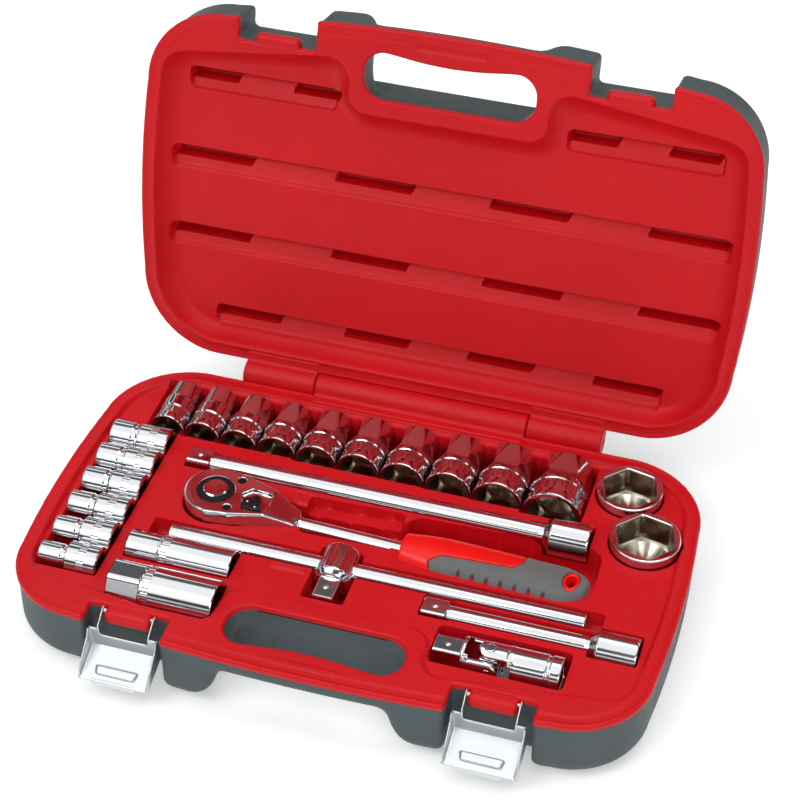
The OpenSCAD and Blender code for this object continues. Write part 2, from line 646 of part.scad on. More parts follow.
/* ---------- universal joint ---------- */
uj_c = 32;
uj_arm = 6.2;
uj_slot = 6.5;
uj_swing = 13.2;
module at_ujoint(x = 0) at_rim() translate([uj_x + x, uj_y, uj_z]) children();
module fork_arms(l) {
  // two rounded arms reaching the pivot at l, pin along Y
  intersection() {
    cylinder(d = 22, h = l + uj_arm);
    union() {
      translate([0, 0, l]) rotate([90, 0, 0]) cylinder(r = uj_arm, h = 30, center = true);
      translate([-uj_arm, -12, l - uj_swing - 1]) cube([2 * uj_arm, 24, uj_swing + 1]);
    }
  }
}
module fork_gap(l) {
  translate([-12, -uj_slot, l - uj_swing]) cube([24, 2 * uj_slot, 40]);
  translate([0, 0, l]) rotate([90, 0, 0]) cylinder(r = 3 + run_clr, h = 30, center = true);
}
module ujoint_drive_fork() color(chrome) at_ujoint() along_x() difference() {
  union() {
    square_end(16);
    translate([0, 0, 16 - eps]) cylinder(d1 = 17, d2 = 22, h = 1);
    translate([0, 0, 17 - 2 * eps]) cylinder(d = 22, h = uj_c - uj_swing - 17 + 3);
    fork_arms(uj_c);
  }
  fork_gap(uj_c);
}
module ball_ujoint() color(steel) at_ujoint() along_x() square_ball();
module ujoint_cross() color(chrome) at_ujoint(uj_c) {
  box(-5.6, 5.6, -5.6, 5.6, -5.6, 5.6);
  rotate([90, 0, 0]) cylinder(r = 3, h = 21.2, center = true);
  cylinder(r = 3, h = 21.2, center = true);
}
module ujoint_socket_fork() color(chrome) at_ujoint(ujoint_len) rotate([0, -90, 0])
rotate([0, 0, 90]) difference() {
  l = ujoint_len - uj_c;
  union() {
    cylinder(d1 = 20.8, d2 = 22, h = 0.6 + eps);
    translate([0, 0, 0.6]) cylinder(d = 22, h = l - uj_swing + 2.4);
    fork_arms(l);
  }
  fork_gap(l);
  translate([-6.45, -6.45, -1]) cube([12.9, 12.9, 17]);
}

/* ---------- ratchet ---------- */
module at_ratchet() at_rim() translate([rat_x, rat_y, 0]) rotate([0, 0, -ratchet_turn]) children();
lever_x = 25.5;
core_x = 117;
core_end = ratchet_len - head_r;

module ratchet_body() color(chrome) at_ratchet() difference() {
  union() {
    translate([0, 0, rat_bot]) cylinder(r = head_r, h = rat_top - rat_bot - 1);
    translate([0, 0, rat_top - 1 - eps]) cylinder(r1 = head_r, r2 = head_r - 1, h = 1);
    // neck, sloping down to the shank
    intersection() {
      translate([0, 0, rat_bot + 0.8]) linear_extrude(rat_top - rat_bot - 1.6) ratchet_neck(0);
      rotate([90, 0, 0]) translate([0, 0, -30]) linear_extrude(60)
        polygon([[0, -14], [60, -14], [60, handle_z + 3], [47, handle_z + shank_r - 0.6], [34, 6], [0, 6]]);
    }
    cyl_x(40, 131.8, 0, handle_z, shank_r);
  }
  // gear room, open below, with a lip above
  translate([0, 0, rat_bot - 1]) cylinder(r = 15.2, h = 16);
  translate([0, 0, rat_bot - 1]) cylinder(r = 11.2 + run_clr, h = 40);
  // pawl room behind the gear
  translate([lever_x, 0, rat_bot + 3.4]) cylinder(r = 6.4, h = 10.6);
  translate([10, -6, rat_bot + 3.4]) cube([12, 12, 10.6]);
  translate([lever_x, 0, rat_bot - 1]) cylinder(r = 2.6 + run_clr, h = 40);
  // arc recess for the reversing lever
  translate([lever_x, 0, rat_top - 2.6]) cylinder(r = 8.6, h = 5);
  for (s = [-1, 1]) translate([12, s * 12.3, rat_top - 1.4]) cylinder(r = 2.6, h = 3);
}
module ratchet_screws() color([0.12, 0.12, 0.12]) at_ratchet()
  for (s = [-1, 1]) translate([12, s * 12.3, rat_top - 1.4]) difference() {
    cylinder(r = 2.6, h = 1);
    translate([0, 0, 0.4]) cylinder(r = 1.3, h = 2, $fn = 6);
  }
module ratchet_drive() color(chrome) at_ratchet() {
  difference() {
    union() {
      translate([0, 0, rat_bot + 0.4]) cylinder(r = 14.7, h = 14.2);
      translate([0, 0, rat_bot - 0.2]) cylinder(r = 11.2, h = rat_top - rat_bot + 0.2 - 0.4);
      translate([0, 0, rat_bot - 16.4]) square_end(16.4);
    }
    translate([0, 0, -6]) cylinder(r = 3 + run_clr, h = 30);
    translate([0, 0, rat_top - 5]) cylinder(r = 7.6 + run_clr, h = 10);
  }
}
module ratchet_ball() color(steel) at_ratchet() translate([0, 0, rat_bot - 16.4]) square_ball();
module ratchet_cover_ring() color([0.06, 0.06, 0.06]) at_ratchet() translate([0, 0, rat_top - 0.4])
difference() {
  cylinder(r = 11.1, h = 0.9);
  translate([0, 0, -1]) cylinder(r = 7.7, h = 4);
}
module ratchet_button() color(chrome) at_ratchet() {
  translate([0, 0, rat_top - 1.2]) cylinder(r = 7.5, h = 2.2);
  translate([0, 0, rat_top + 1 - eps]) cylinder(r1 = 7.5, r2 = 6.7, h = 0.7);
  translate([0, 0, -2]) cylinder(r = 3, h = rat_top + 1.2);
}
module ratchet_lever() color([0.08, 0.08, 0.08]) at_ratchet() translate([lever_x, 0, rat_top - 2.3]) {
  linear_extrude(2.6) polygon([[-7.4, -2.6], [-7.4, 2.6], [-5.6, 5], [0, 3.6], [3, 0], [0, -3.6], [-5.6, -5]]);
  cylinder(r = 3.4, h = 3.2);
  translate([0, 0, rat_bot + 1.5 - rat_top + 2.3]) cylinder(r = 2.6, h = rat_top - rat_bot - 3);
}
module ratchet_pawl() color([0.5, 0.5, 0.52]) at_ratchet() translate([lever_x, 0, rat_bot + 3.9]) difference() {
  union() {
    cylinder(r = 5.6, h = 9.4);
    translate([-8.8, -3, 0]) cube([8, 6, 9.4]);
  }
  translate([0, 0, -1]) cylinder(r = 2.62, h = 12);
}

module handle_slab(x0, x1, g = 0) {
  // rounded handle body along X, flat ovals joined by long hulls
  hull() {
    translate([x0, 0, handle_z]) scale([1, 1.18, 1]) along_x() cylinder(r = 9.6 + g, h = 0.5, $fn = 40);
    translate([x0 + 22, 0, handle_z]) scale([1, 1.36, 1]) along_x() cylinder(r = 11 + g, h = 0.5, $fn = 40);
    translate([x1 - 30, 0, handle_z]) scale([1, 1.42, 1]) along_x() cylinder(r = 10.6 + g, h = 0.5, $fn = 40);
    translate([x1 - 8, 0, handle_z]) scale([1, 1.42, 1]) along_x() cylinder(r = 9 + g, h = 0.5, $fn = 40);
    translate([x1 - 0.5, 0, handle_z]) scale([1, 1.6, 1]) along_x() cylinder(r = 5 + g, h = 0.5, $fn = 40);
  }
}
module grip_zone() {
  // area of the soft grip seen from above
  translate([0, 0, -20]) linear_extrude(40)
    polygon([[core_x + 44, -30], [core_x + 34, -7], [core_x + 52, -2], [core_x + 78, 0], [core_x + 86, 6],
      [core_x + 84, 30], [core_end + 20, 30], [core_end + 20, -30]]);
}
module ratchet_core() color([0.86, 0.16, 0.1]) at_ratchet() difference() {
  handle_slab(core_x, core_end);
  grip_zone();
  translate([core_x + 20, 0, 0]) box(14, 100, -9.5, 9.5, handle_z - 7.4, handle_z + 7.6);
  cyl_x(core_x - 5, 131.9, 0, handle_z, shank_r);
}
module ratchet_grip() color([0.25, 0.26, 0.27]) at_ratchet() difference() {
  intersection() {
    handle_slab(core_x, core_end);
    grip_zone();
  }
  cyl_x(core_x - 5, 131.9, 0, handle_z, shank_r);
  translate([core_end - 10.5, 0, -30]) cylinder(r = 4.6, h = 60);
  for (i = [0:6]) translate([core_x + 42 + i * 6.6, -13 + (i > 4 ? 0.4 * (i - 4) : 0), handle_z + 8])
    sphere(r = 3, $fn = 24);
}
module ratchet_eyelet() color([0.86, 0.16, 0.1]) at_ratchet() translate([core_end - 10.5, 0, handle_z - 8.4]) difference() {
  cylinder(r = 4.6, h = 16.4);
  translate([0, 0, -1]) cylinder(r = 2.8, h = 30);
}

/* ---------- drawing ---------- */
base_shell();
base_liner();
lid_shell();
lid_liner();
hinge_pin();
latch_left();
latch_right();
socket_10();
socket_11();
socket_12();
socket_13();
socket_14();
socket_15();
socket_16();
socket_17();
socket_18();
socket_19();
socket_20();
socket_21();
socket_22();
socket_23();
socket_24();
socket_27();
socket_30();
socket_32();
spark_socket_16();
spark_socket_21();
spark_insert_16();
spark_insert_21();
extension_long();
extension_short();
ball_long();
ball_short();
tbar_head();
tbar_bar();
ball_tbar();
ujoint_drive_fork();
ujoint_cross();
ujoint_socket_fork();
ball_ujoint();
ratchet_body();
ratchet_cover_ring();
ratchet_screws();
ratchet_drive();
ratchet_ball();
ratchet_button();
ratchet_lever();
ratchet_pawl();
ratchet_core();
ratchet_grip();
ratchet_eyelet();
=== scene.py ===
"""Socket wrench set in a double-wall carrying case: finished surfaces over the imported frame.

Lengths inside the classes are millimetres from the hinge line, which lies in the rim plane;
meshes are written in metres in the frame's own axes.
"""

import json
import logging
import math
from dataclasses import dataclass, field
from enum import Enum
from typing import Callable, Optional, Sequence

import bpy
import numpy as np
from mathutils import Matrix, Vector

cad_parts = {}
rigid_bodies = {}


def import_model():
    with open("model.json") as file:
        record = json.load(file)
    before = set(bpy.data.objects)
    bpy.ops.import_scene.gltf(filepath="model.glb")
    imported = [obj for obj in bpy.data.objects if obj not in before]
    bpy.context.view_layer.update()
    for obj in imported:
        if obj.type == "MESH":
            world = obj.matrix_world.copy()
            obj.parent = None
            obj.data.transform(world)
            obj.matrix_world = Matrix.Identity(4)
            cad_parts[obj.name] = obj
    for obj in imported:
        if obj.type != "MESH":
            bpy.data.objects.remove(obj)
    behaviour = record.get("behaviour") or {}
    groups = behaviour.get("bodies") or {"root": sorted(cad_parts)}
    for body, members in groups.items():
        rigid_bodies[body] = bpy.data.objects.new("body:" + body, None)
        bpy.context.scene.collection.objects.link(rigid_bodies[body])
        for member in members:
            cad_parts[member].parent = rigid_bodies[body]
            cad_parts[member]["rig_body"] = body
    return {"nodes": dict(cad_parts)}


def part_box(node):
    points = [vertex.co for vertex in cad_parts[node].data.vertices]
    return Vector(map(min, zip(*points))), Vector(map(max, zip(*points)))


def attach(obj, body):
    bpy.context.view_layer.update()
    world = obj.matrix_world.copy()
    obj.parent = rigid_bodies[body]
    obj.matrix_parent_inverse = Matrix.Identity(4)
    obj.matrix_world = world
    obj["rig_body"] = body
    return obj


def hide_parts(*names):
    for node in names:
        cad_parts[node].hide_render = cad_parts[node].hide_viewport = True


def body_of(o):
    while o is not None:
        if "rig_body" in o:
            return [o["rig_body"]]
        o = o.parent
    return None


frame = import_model()

LOG = logging.getLogger("socket_set")
Array = np.ndarray
Solid = Callable[[Array, Array, Array], Array]
Plan = Callable[[Array, Array], Array]

_pin = [np.array(c) * 1000 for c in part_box("hinge_pin")]
HINGE = np.array([0.0, (_pin[0][1] + _pin[1][1]) / 2, (_pin[0][2] + _pin[1][2]) / 2])
LID_TURN = math.radians(103.0)
BASE_H, LID_H = 44.0, 40.0
RIM_TOP = -0.1


# ---------------------------------------------------------------- distance arithmetic
def smax(a: Array, b: Array, k: float) -> Array:
    """Larger of two distances with a blend of width k.

    The result is max plus h squared over 4k, where h is k minus the gap between the two.
    """
    h = np.maximum(k - np.abs(a - b), 0.0)
    return np.maximum(a, b) + h * h / (4 * k)


def smin(a: Array, b: Array, k: float) -> Array:
    """Smaller of two distances with a blend of width k, the mirror of smax."""
    return -smax(-a, -b, k)


def ease(t: Array) -> Array:
    """Smooth step from 0 to 1: 3t squared minus 2t cubed, with t clipped to 0..1."""
    t = np.clip(t, 0.0, 1.0)
    return t * t * (3 - 2 * t)


def box_plan(x: Array, y: Array, cx: float, cy: float, hx: float, hy: float, r: float) -> Array:
    """Distance to a rounded rectangle: length of the positive part of (|p| - half + r), minus r."""
    qx, qy = np.abs(x - cx) - hx + r, np.abs(y - cy) - hy + r
    return np.hypot(np.maximum(qx, 0), np.maximum(qy, 0)) + np.minimum(np.maximum(qx, qy), 0) - r


def block(p: Sequence[Array], lo: Sequence[float], hi: Sequence[float], r: float) -> Array:
    """Distance to a rounded box between two corners.

    Args:
        p: x, y and z arrays.
        lo: lowest corner.
        hi: highest corner.
        r: edge radius.
    """
    q = [np.abs(v - (a + b) / 2) - (b - a) / 2 + r for v, a, b in zip(p, lo, hi)]
    out = np.sqrt(sum(np.maximum(v, 0) ** 2 for v in q))
    return out + np.minimum(np.maximum(np.maximum(q[0], q[1]), q[2]), 0) - r


def rod(a: Array, b: Array, t: Array, r: float, t0: float, t1: float, k: float = 0.8) -> Array:
    """Distance to a round bar: radius from hypot(a, b), length along t from t0 to t1, ends eased by k."""
    return smax(np.hypot(a, b) - r, np.abs(t - (t0 + t1) / 2) - (t1 - t0) / 2, k)


def polygon(x: Array, y: Array, pts: Sequence[tuple[float, float]]) -> Array:
    """Signed distance to a polygon: least distance to any side, negative where the crossings are odd.

    Args:
        x: first coordinate.
        y: second coordinate.
        pts: corners in order.
    """
    best = np.full(np.shape(x), 1e9)
    inside = np.zeros(np.shape(x), bool)
    for (ax, ay), (bx, by) in zip(pts, list(pts[1:]) + [pts[0]]):
        ex, ey = bx - ax, by - ay
        t = np.clip(((x - ax) * ex + (y - ay) * ey) / (ex * ex + ey * ey), 0, 1)
        best = np.minimum(best, np.hypot(x - ax - t * ex, y - ay - t * ey))
        if ey != 0:
            inside ^= ((ay > y) != (by > y)) & (x < ax + (y - ay) / ey * ex)
    return np.where(inside, -best, best)


def mirrored(half: Sequence[tuple[float, float]]) -> list[tuple[float, float]]:
    """Closed outline that is the same on both sides of the first axis, from its upper half."""
    return list(half) + [(a, -b) for a, b in reversed(half)]


def turned(x: Array, y: Array, cx: float, cy: float, deg: float) -> tuple[Array, Array]:
    """Coordinates seen from a place turned clockwise by deg: the offset rotated back by deg."""
    c, s = math.cos(math.radians(deg)), math.sin(math.radians(deg))
    dx, dy = x - cx, y - cy
    return dx * c - dy * s, dx * s + dy * c


# ---------------------------------------------------------------- placing
class Half(Enum):
    """The two halves of the case."""

    BASE = "base"
    LID = "lid"

    def to_frame(self, v: Array) -> Array:
        """Pan coordinates to frame millimetres; the lid's pan is mirrored in the rim plane, then opened."""
        if self is Half.BASE:
            return v + HINGE
        c, s = math.cos(LID_TURN), math.sin(LID_TURN)
        x, y, z = v[:, 0], v[:, 1], -v[:, 2]
        return np.stack([x, y * c + z * s, -y * s + z * c], 1) + HINGE


# ---------------------------------------------------------------- meshes
class MeshMaker:
    """Turns whole arrays into finished mesh objects."""

    @staticmethod
    def put(name: str, verts: Array, faces: Sequence[Array], sharp: float = 38.0,
            uv: Optional[Array] = None) -> bpy.types.Object:
        """Writes vertices and faces into a new object.

        Args:
            name: piece name.
            verts: frame millimetres, one row each.
            faces: index arrays, each of one face size.
            sharp: edges steeper than this angle in degrees stay crisp.
            uv: optional two numbers per vertex.

        Returns:
            The linked object at the origin.
        """
        me = bpy.data.meshes.new(name)
        faces = [f for f in faces if len(f)]
        me.vertices.add(len(verts))
        me.vertices.foreach_set("co", (verts * 0.001).astype(np.float32).ravel())
        loops = np.concatenate([f.ravel() for f in faces]).astype(np.int32)
        sizes = np.concatenate([np.full(len(f), f.shape[1], np.int32) for f in faces])
        me.loops.add(len(loops))
        me.loops.foreach_set("vertex_index", loops)
        me.polygons.add(len(sizes))
        me.polygons.foreach_set("loop_start", np.concatenate([[0], np.cumsum(sizes)[:-1]]).astype(np.int32))
        me.polygons.foreach_set("use_smooth", np.ones(len(sizes), bool))
        me.update(calc_edges=True)
        me.validate()
        me.set_sharp_from_angle(angle=math.radians(sharp))
        if uv is not None:
            layer = me.uv_layers.new(name="surface")
            idx = np.empty(len(me.loops), np.int32)
            me.loops.foreach_get("vertex_index", idx)
            layer.data.foreach_set("uv", uv[idx].astype(np.float32).ravel())
        ob = bpy.data.objects.new(name, me)
        bpy.context.scene.collection.objects.link(ob)
        return ob

    @staticmethod
    def net(solid: Solid, lo: Sequence[float], hi: Sequence[float], step: float) -> tuple[Array, Array]:
        """Surface of a solid given by its distance formula, as quads.

        Space between lo and hi is cut into cubes. A cube that the surface passes gets one vertex at
        the mean of the crossings on its edges, then two Newton steps (minus distance times gradient)
        put the vertex on the surface. Each cube edge that changes sign gives a quad of its four cubes.

        Args:
            solid: distance formula, negative inside.
            lo: lowest corner of the space.
            hi: highest corner.
            step: side of a cube.

        Returns:
            Vertices and quads.
        """
        lo_, n = np.array(lo, float), [int(math.ceil((b - a) / step)) + 1 for a, b in zip(lo, hi)]
        ax = [lo_[i] + step * np.arange(n[i]) for i in range(3)]
        d = solid(*np.meshgrid(*ax, indexing="ij")).astype(np.float32)
        neg = d < 0
        cells = tuple(m - 1 for m in n)
        acc, num = np.zeros(cells + (3,), np.float32), np.zeros(cells, np.float32)
        for a in range(3):
            u, w = (a + 1) % 3, (a + 2) % 3
            for ou in (0, 1):
                for ow in (0, 1):
                    start = [0, 0, 0]
                    start[u], start[w] = ou, ow
                    s0 = tuple(slice(start[i], start[i] + cells[i]) for i in range(3))
                    start[a] = 1
                    s1 = tuple(slice(start[i], start[i] + cells[i]) for i in range(3))
                    cross = neg[s0] != neg[s1]
                    t = np.where(cross, d[s0] / np.where(cross, d[s0] - d[s1], 1), 0)
                    acc[..., a] += t
                    acc[..., u] += cross * ou
                    acc[..., w] += cross * ow
                    num += cross
        live = num > 0
        index = np.full(cells, -1, np.int64)
        index[live] = np.arange(int(live.sum()))
        base = np.stack(np.nonzero(live), 1)
        v = lo_ + (base + acc[live] / num[live][:, None]) * step
        quads = []
        for a in range(3):
            u, w = (a + 1) % 3, (a + 2) % 3
            s0, s1 = [slice(1, -1)] * 3, [slice(1, -1)] * 3
            s0[a], s1[a] = slice(0, -1), slice(1, None)
            e0, e1 = neg[tuple(s0)], neg[tuple(s1)]
            where = np.stack(np.nonzero(e0 != e1), 1)
            flip = ~e0[tuple(where.T)]
            at = where.copy()
            at[:, u] += 1
            at[:, w] += 1
            corner = []
            for du, dw in ((-1, -1), (0, -1), (0, 0), (-1, 0)):
                c = at.copy()
                c[:, u] += du
                c[:, w] += dw
                corner.append(index[tuple(c.T)])
            q = np.stack(corner, 1)
            q[flip] = q[flip][:, ::-1]
            quads.append(q)
        e = step * 0.05
        for _ in range(2):
            x, y, z = v.T
            f = solid(x, y, z)
            g = np.stack([solid(x + e, y, z) - f, solid(x, y + e, z) - f, solid(x, y, z + e) - f], 1) / e
            move = -(f / np.maximum((g * g).sum(1), 0.25))[:, None] * g
            size = np.linalg.norm(move, axis=1, keepdims=True)
            v = v + move * np.minimum(1, 0.6 * step / np.maximum(size, 1e-9))
        return v, np.concatenate(quads)

    @staticmethod
    def braced(stations: Sequence[tuple], near: float = 0.25, least: float = 1.2) -> list[tuple]:
        """Adds a station close to each end of every long span, so that shading keeps flat parts flat.

        Args:
            stations: (height, radii, more) along a profile.
            near: distance of the added stations from the span's ends.
            least: shortest span that gets them.

        Returns:
            The longer list.
        """
        out = [stations[0]]
        for a, b in zip(stations, stations[1:]):
            length = math.hypot(b[0] - a[0], float(np.max(np.abs(np.asarray(b[1]) - np.asarray(a[1])))))
            if length > least:
                for t in (near / length, 1 - near / length):
                    out.append(tuple(p + (q - p) * t for p, q in zip(a, b)))
            out.append(b)
        return out

    @staticmethod
    def rings(stations: Sequence[tuple[float, Array]], count: int) -> tuple[Array, Array]:
        """Closed solid of stations round the Z axis.

        Each station is (height, radius for each of count angles), and vertex (i, j) lies at
        radius[i, j] times (cos, sin) of j turns over count. The first station joins the last one,
        so the profile runs out from a bore, along the outside, and back down the bore.

        Args:
            stations: the closed profile.
            count: angles in a turn.

        Returns:
            Vertices and quads.
        """
        k = len(stations)
        a = np.arange(count) * 2 * math.pi / count
        r = np.stack([np.broadcast_to(s[1], (count,)) for s in stations])
        z = np.array([s[0] for s in stations])[:, None] + 0 * r
        v = np.stack([r * np.cos(a), r * np.sin(a), z], -1).reshape(-1, 3)
        i, j = np.meshgrid(np.arange(k), np.arange(count), indexing="ij")
        i2, j2 = (i + 1) % k, (j + 1) % count
        q = np.stack([i * count + j, i * count + j2, i2 * count + j2, i2 * count + j], -1).reshape(-1, 4)
        return v, q


def sides(n: int, apothem: float, count: int, turn: float = 0.0, soft: float = 0.0) -> Array:
    """Radius of a regular polygon at each angle: apothem over cos of the angle to the nearest side's middle.

    Args:
        n: number of sides.
        apothem: half width across flats.
        count: angles in a turn.
        turn: angle of a corner from +X, in degrees.
        soft: share by which corners are pulled in.
    """
    a = np.arange(count) * 2 * math.pi / count - math.radians(turn) + math.pi / n
    w = (a + math.pi / n) % (2 * math.pi / n) - math.pi / n
    r = apothem / np.cos(w)
    return np.minimum(r, apothem / math.cos(math.pi / n) * (1 - soft))


def orient(v: Array, origin: Sequence[float], axis: str) -> Array:
    """Lays a part drawn along +Z onto a direction of the frame.

    Args:
        v: vertices drawn along +Z.
        origin: place of the drawn origin, from the hinge line.
        axis: one of +x, -x, -y, +z.
    """
    x, y, z = v.T
    laid = {"+x": (z, y, -x), "-x": (-z, y, x), "-y": (x, -z, y), "+z": (x, y, z)}[axis]
    return np.stack(laid, 1) + np.array(origin) + HINGE


# ---------------------------------------------------------------- finishes
class Tree:
    """Short hand for building a material's nodes."""

    def __init__(self, name: str) -> None:
        """Starts a material with only its shader and output."""
        self.mat = bpy.data.materials.new(name)
        self.mat.use_nodes = True
        self.nt = self.mat.node_tree
        self.nt.nodes.clear()
        self.out = self.nt.nodes.new("ShaderNodeOutputMaterial")
        self.bsdf = self.nt.nodes.new("ShaderNodeBsdfPrincipled")
        self.nt.links.new(self.bsdf.outputs[0], self.out.inputs[0])
        self.coords = self.nt.nodes.new("ShaderNodeTexCoord")

    def add(self, kind: str, inputs: Optional[dict] = None, **props: object) -> bpy.types.Node:
        """A node of the kind, with socket values or links and plain properties set."""
        n = self.nt.nodes.new(kind)
        for k, val in props.items():
            setattr(n, k, val)
        for k, val in (inputs or {}).items():
            if isinstance(val, bpy.types.NodeSocket):
                self.nt.links.new(val, n.inputs[k])
            else:
                n.inputs[k].default_value = val
        return n

    def noise(self, scale: float, detail: float = 2.0, stretch: tuple[float, float, float] = (1, 1, 1)
              ) -> bpy.types.NodeSocket:
        """Noise over the piece's own coordinates, stretched by the three factors."""
        m = self.add("ShaderNodeMapping", {"Vector": self.coords.outputs["Object"], "Scale": stretch})
        n = self.add("ShaderNodeTexNoise", {"Vector": m.outputs[0], "Scale": scale, "Detail": detail})
        return n.outputs["Fac"]

    def ramp(self, fac: bpy.types.NodeSocket, lo: float, hi: float, a: tuple, b: tuple
             ) -> bpy.types.NodeSocket:
        """Colour from a to b while fac goes from lo to hi."""
        r = self.add("ShaderNodeValToRGB", {"Fac": fac})
        e = r.color_ramp.elements
        e[0].position, e[1].position = lo, hi
        e[0].color, e[1].color = (*a, 1), (*b, 1)
        return r.outputs["Color"]

    def span(self, fac: bpy.types.NodeSocket, lo: float, hi: float, a: float, b: float
             ) -> bpy.types.NodeSocket:
        """Number from a to b while fac goes from lo to hi, clamped."""
        m = self.add("ShaderNodeMapRange", {"Value": fac, "From Min": lo, "From Max": hi,
                                            "To Min": a, "To Max": b})
        return m.outputs[0]

    def bump(self, height: bpy.types.NodeSocket, strength: float, distance: float,
             under: Optional[bpy.types.NodeSocket] = None) -> bpy.types.NodeSocket:
        """Bump normal from a height, over another normal where given."""
        given = {"Height": height, "Strength": strength, "Distance": distance}
        if under is not None:
            given["Normal"] = under
        return self.add("ShaderNodeBump", given).outputs[0]

    def set(self, name: str, value: object) -> None:
        """Sets or links one socket of the shader."""
        if isinstance(value, bpy.types.NodeSocket):
            self.nt.links.new(value, self.bsdf.inputs[name])
        else:
            self.bsdf.inputs[name].default_value = value


@dataclass(frozen=True)
class MouldedPlastic:
    """Injection or blow moulded plastic: fine grain, slight flow mottling, uneven gloss."""

    name: str
    colour: tuple[float, float, float]
    rough: float = 0.36
    grain: float = 1100.0
    depth: float = 0.12
    specular: float = 0.5
    mottle: float = 0.06

    def make(self) -> bpy.types.Material:
        """Builds the node material."""
        t = Tree(self.name)
        c, m = self.colour, self.mottle
        cloud = t.noise(14, 4)
        t.set("Base Color", t.ramp(cloud, 0.3, 0.72, tuple(v * (1 - m) for v in c),
                                   tuple(min(1, v * (1 + m)) for v in c)))
        t.set("Roughness", t.span(t.noise(60, 3), 0.3, 0.7, self.rough - 0.05, self.rough + 0.07))
        t.set("Specular IOR Level", self.specular)
        t.set("Normal", t.bump(t.noise(self.grain, 3), self.depth, 0.0004))
        return t.mat


@dataclass(frozen=True)
class Plated:
    """Polished chrome or satin zinc over steel, with faint polishing lines and handling haze."""

    name: str
    colour: tuple[float, float, float] = (0.64, 0.65, 0.67)
    rough: float = 0.07
    spread: float = 0.05
    line_scale: tuple[float, float, float] = (1, 1, 1)
    depth: float = 0.03
    knurled: bool = False

    def make(self) -> bpy.types.Material:
        """Builds the node material; a knurled one reads the band marked in the piece's second map axis."""
        t = Tree(self.name)
        c = self.colour
        haze = t.noise(45, 4)
        t.set("Metallic", 1.0)
        t.set("Base Color", t.ramp(haze, 0.25, 0.75, tuple(v * 0.94 for v in c), c))
        t.set("Roughness", t.span(haze, 0.35, 0.7, self.rough, self.rough + self.spread))
        lines = t.bump(t.noise(500, 3, self.line_scale), self.depth, 0.0003)
        if self.knurled:
            uv = t.add("ShaderNodeSeparateXYZ", {"Vector": t.coords.outputs["UV"]})
            def wave(socket: bpy.types.NodeSocket, turns: float) -> bpy.types.NodeSocket:
                """Sine of a map axis."""
                a = t.add("ShaderNodeMath", {0: socket, 1: turns * 2 * math.pi}, operation="MULTIPLY")
                return t.add("ShaderNodeMath", {0: a.outputs[0]}, operation="SINE").outputs[0]
            cross = wave(uv.outputs[0], 40)
            on = t.span(uv.outputs[1], 0.02, 0.06, 0, 1)
            h = t.add("ShaderNodeMath", {0: cross, 1: on}, operation="MULTIPLY").outputs[0]
            lines = t.bump(h, 0.3, 0.00025, lines)
        t.set("Normal", lines)
        return t.mat


@dataclass(frozen=True)
class SoftRubber:
    """Soft over-moulded grip: matt, finely pebbled, with a faint sheen."""

    name: str
    colour: tuple[float, float, float]
    rough: float = 0.6

    def make(self) -> bpy.types.Material:
        """Builds the node material."""
        t = Tree(self.name)
        c = self.colour
        t.set("Base Color", t.ramp(t.noise(90, 4), 0.3, 0.7, tuple(v * 0.86 for v in c), c))
        t.set("Roughness", t.span(t.noise(300, 2), 0.3, 0.7, self.rough - 0.08, self.rough + 0.08))
        t.set("Sheen Weight", 0.15)
        pebble = t.add("ShaderNodeTexVoronoi", {"Vector": t.coords.outputs["Object"], "Scale": 1800.0})
        t.set("Normal", t.bump(pebble.outputs["Distance"], 0.35, 0.0003))
        return t.mat


@dataclass
class Palette:
    """Every finish of the set, made once."""

    red: MouldedPlastic = MouldedPlastic("red_moulding", (0.57, 0.004, 0.009), 0.42, specular=0.24)
    grey: MouldedPlastic = MouldedPlastic("grey_moulding", (0.058, 0.075, 0.078), 0.55, 650.0, 0.55, 0.4)
    orange: MouldedPlastic = MouldedPlastic("handle_red", (0.85, 0.009, 0.006), 0.28, 1500.0, 0.04, 0.3)
    chrome: Plated = Plated("bright_chrome")
    knurl: Plated = Plated("bright_chrome_knurled", knurled=True)
    zinc: Plated = Plated("satin_zinc", (0.66, 0.69, 0.71), 0.3, 0.12, (1, 6, 6), 0.12)
    steel: Plated = Plated("turned_steel", (0.58, 0.58, 0.6), 0.22, 0.1, (1, 8, 8), 0.1)
    black: Plated = Plated("black_oxide", (0.045, 0.045, 0.05), 0.3, 0.15, (1, 1, 1), 0.1)
    bore: Plated = Plated("bore_chrome", (0.52, 0.48, 0.40), 0.16, 0.08, (1, 1, 1), 0.05)
    rubber: SoftRubber = SoftRubber("grip_rubber", (0.13, 0.135, 0.135))
    insert: SoftRubber = SoftRubber("insert_rubber", (0.02, 0.02, 0.02), 0.5)
    made: dict = field(default_factory=dict)

    def get(self, which: str) -> bpy.types.Material:
        """The material of the finish with that name."""
        if which not in self.made:
            self.made[which] = getattr(self, which).make()
        return self.made[which]

    def dress(self, ob: bpy.types.Object, which: str) -> bpy.types.Object:
        """Gives the whole piece one finish."""
        ob.data.materials.clear()
        ob.data.materials.append(self.get(which))
        return ob


PALETTE = Palette()


def body_of_node(node: str) -> str:
    """Name of the body that a CAD node belongs to."""
    return body_of(frame["nodes"][node])[0]


def place(ob: bpy.types.Object, which: str, *nodes: str) -> bpy.types.Object:
    """Dresses a piece, lets it ride on the nodes' body and stand for them.

    Args:
        ob: the finished object.
        which: finish name.
        nodes: CAD nodes it stands for; the first gives the body.

    Returns:
        The object.
    """
    PALETTE.dress(ob, which)
    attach(ob, body_of_node(nodes[0]))
    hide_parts(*nodes)
    LOG.info("%s: %d faces, stands for %s", ob.name, len(ob.data.polygons), ", ".join(nodes))
    return ob


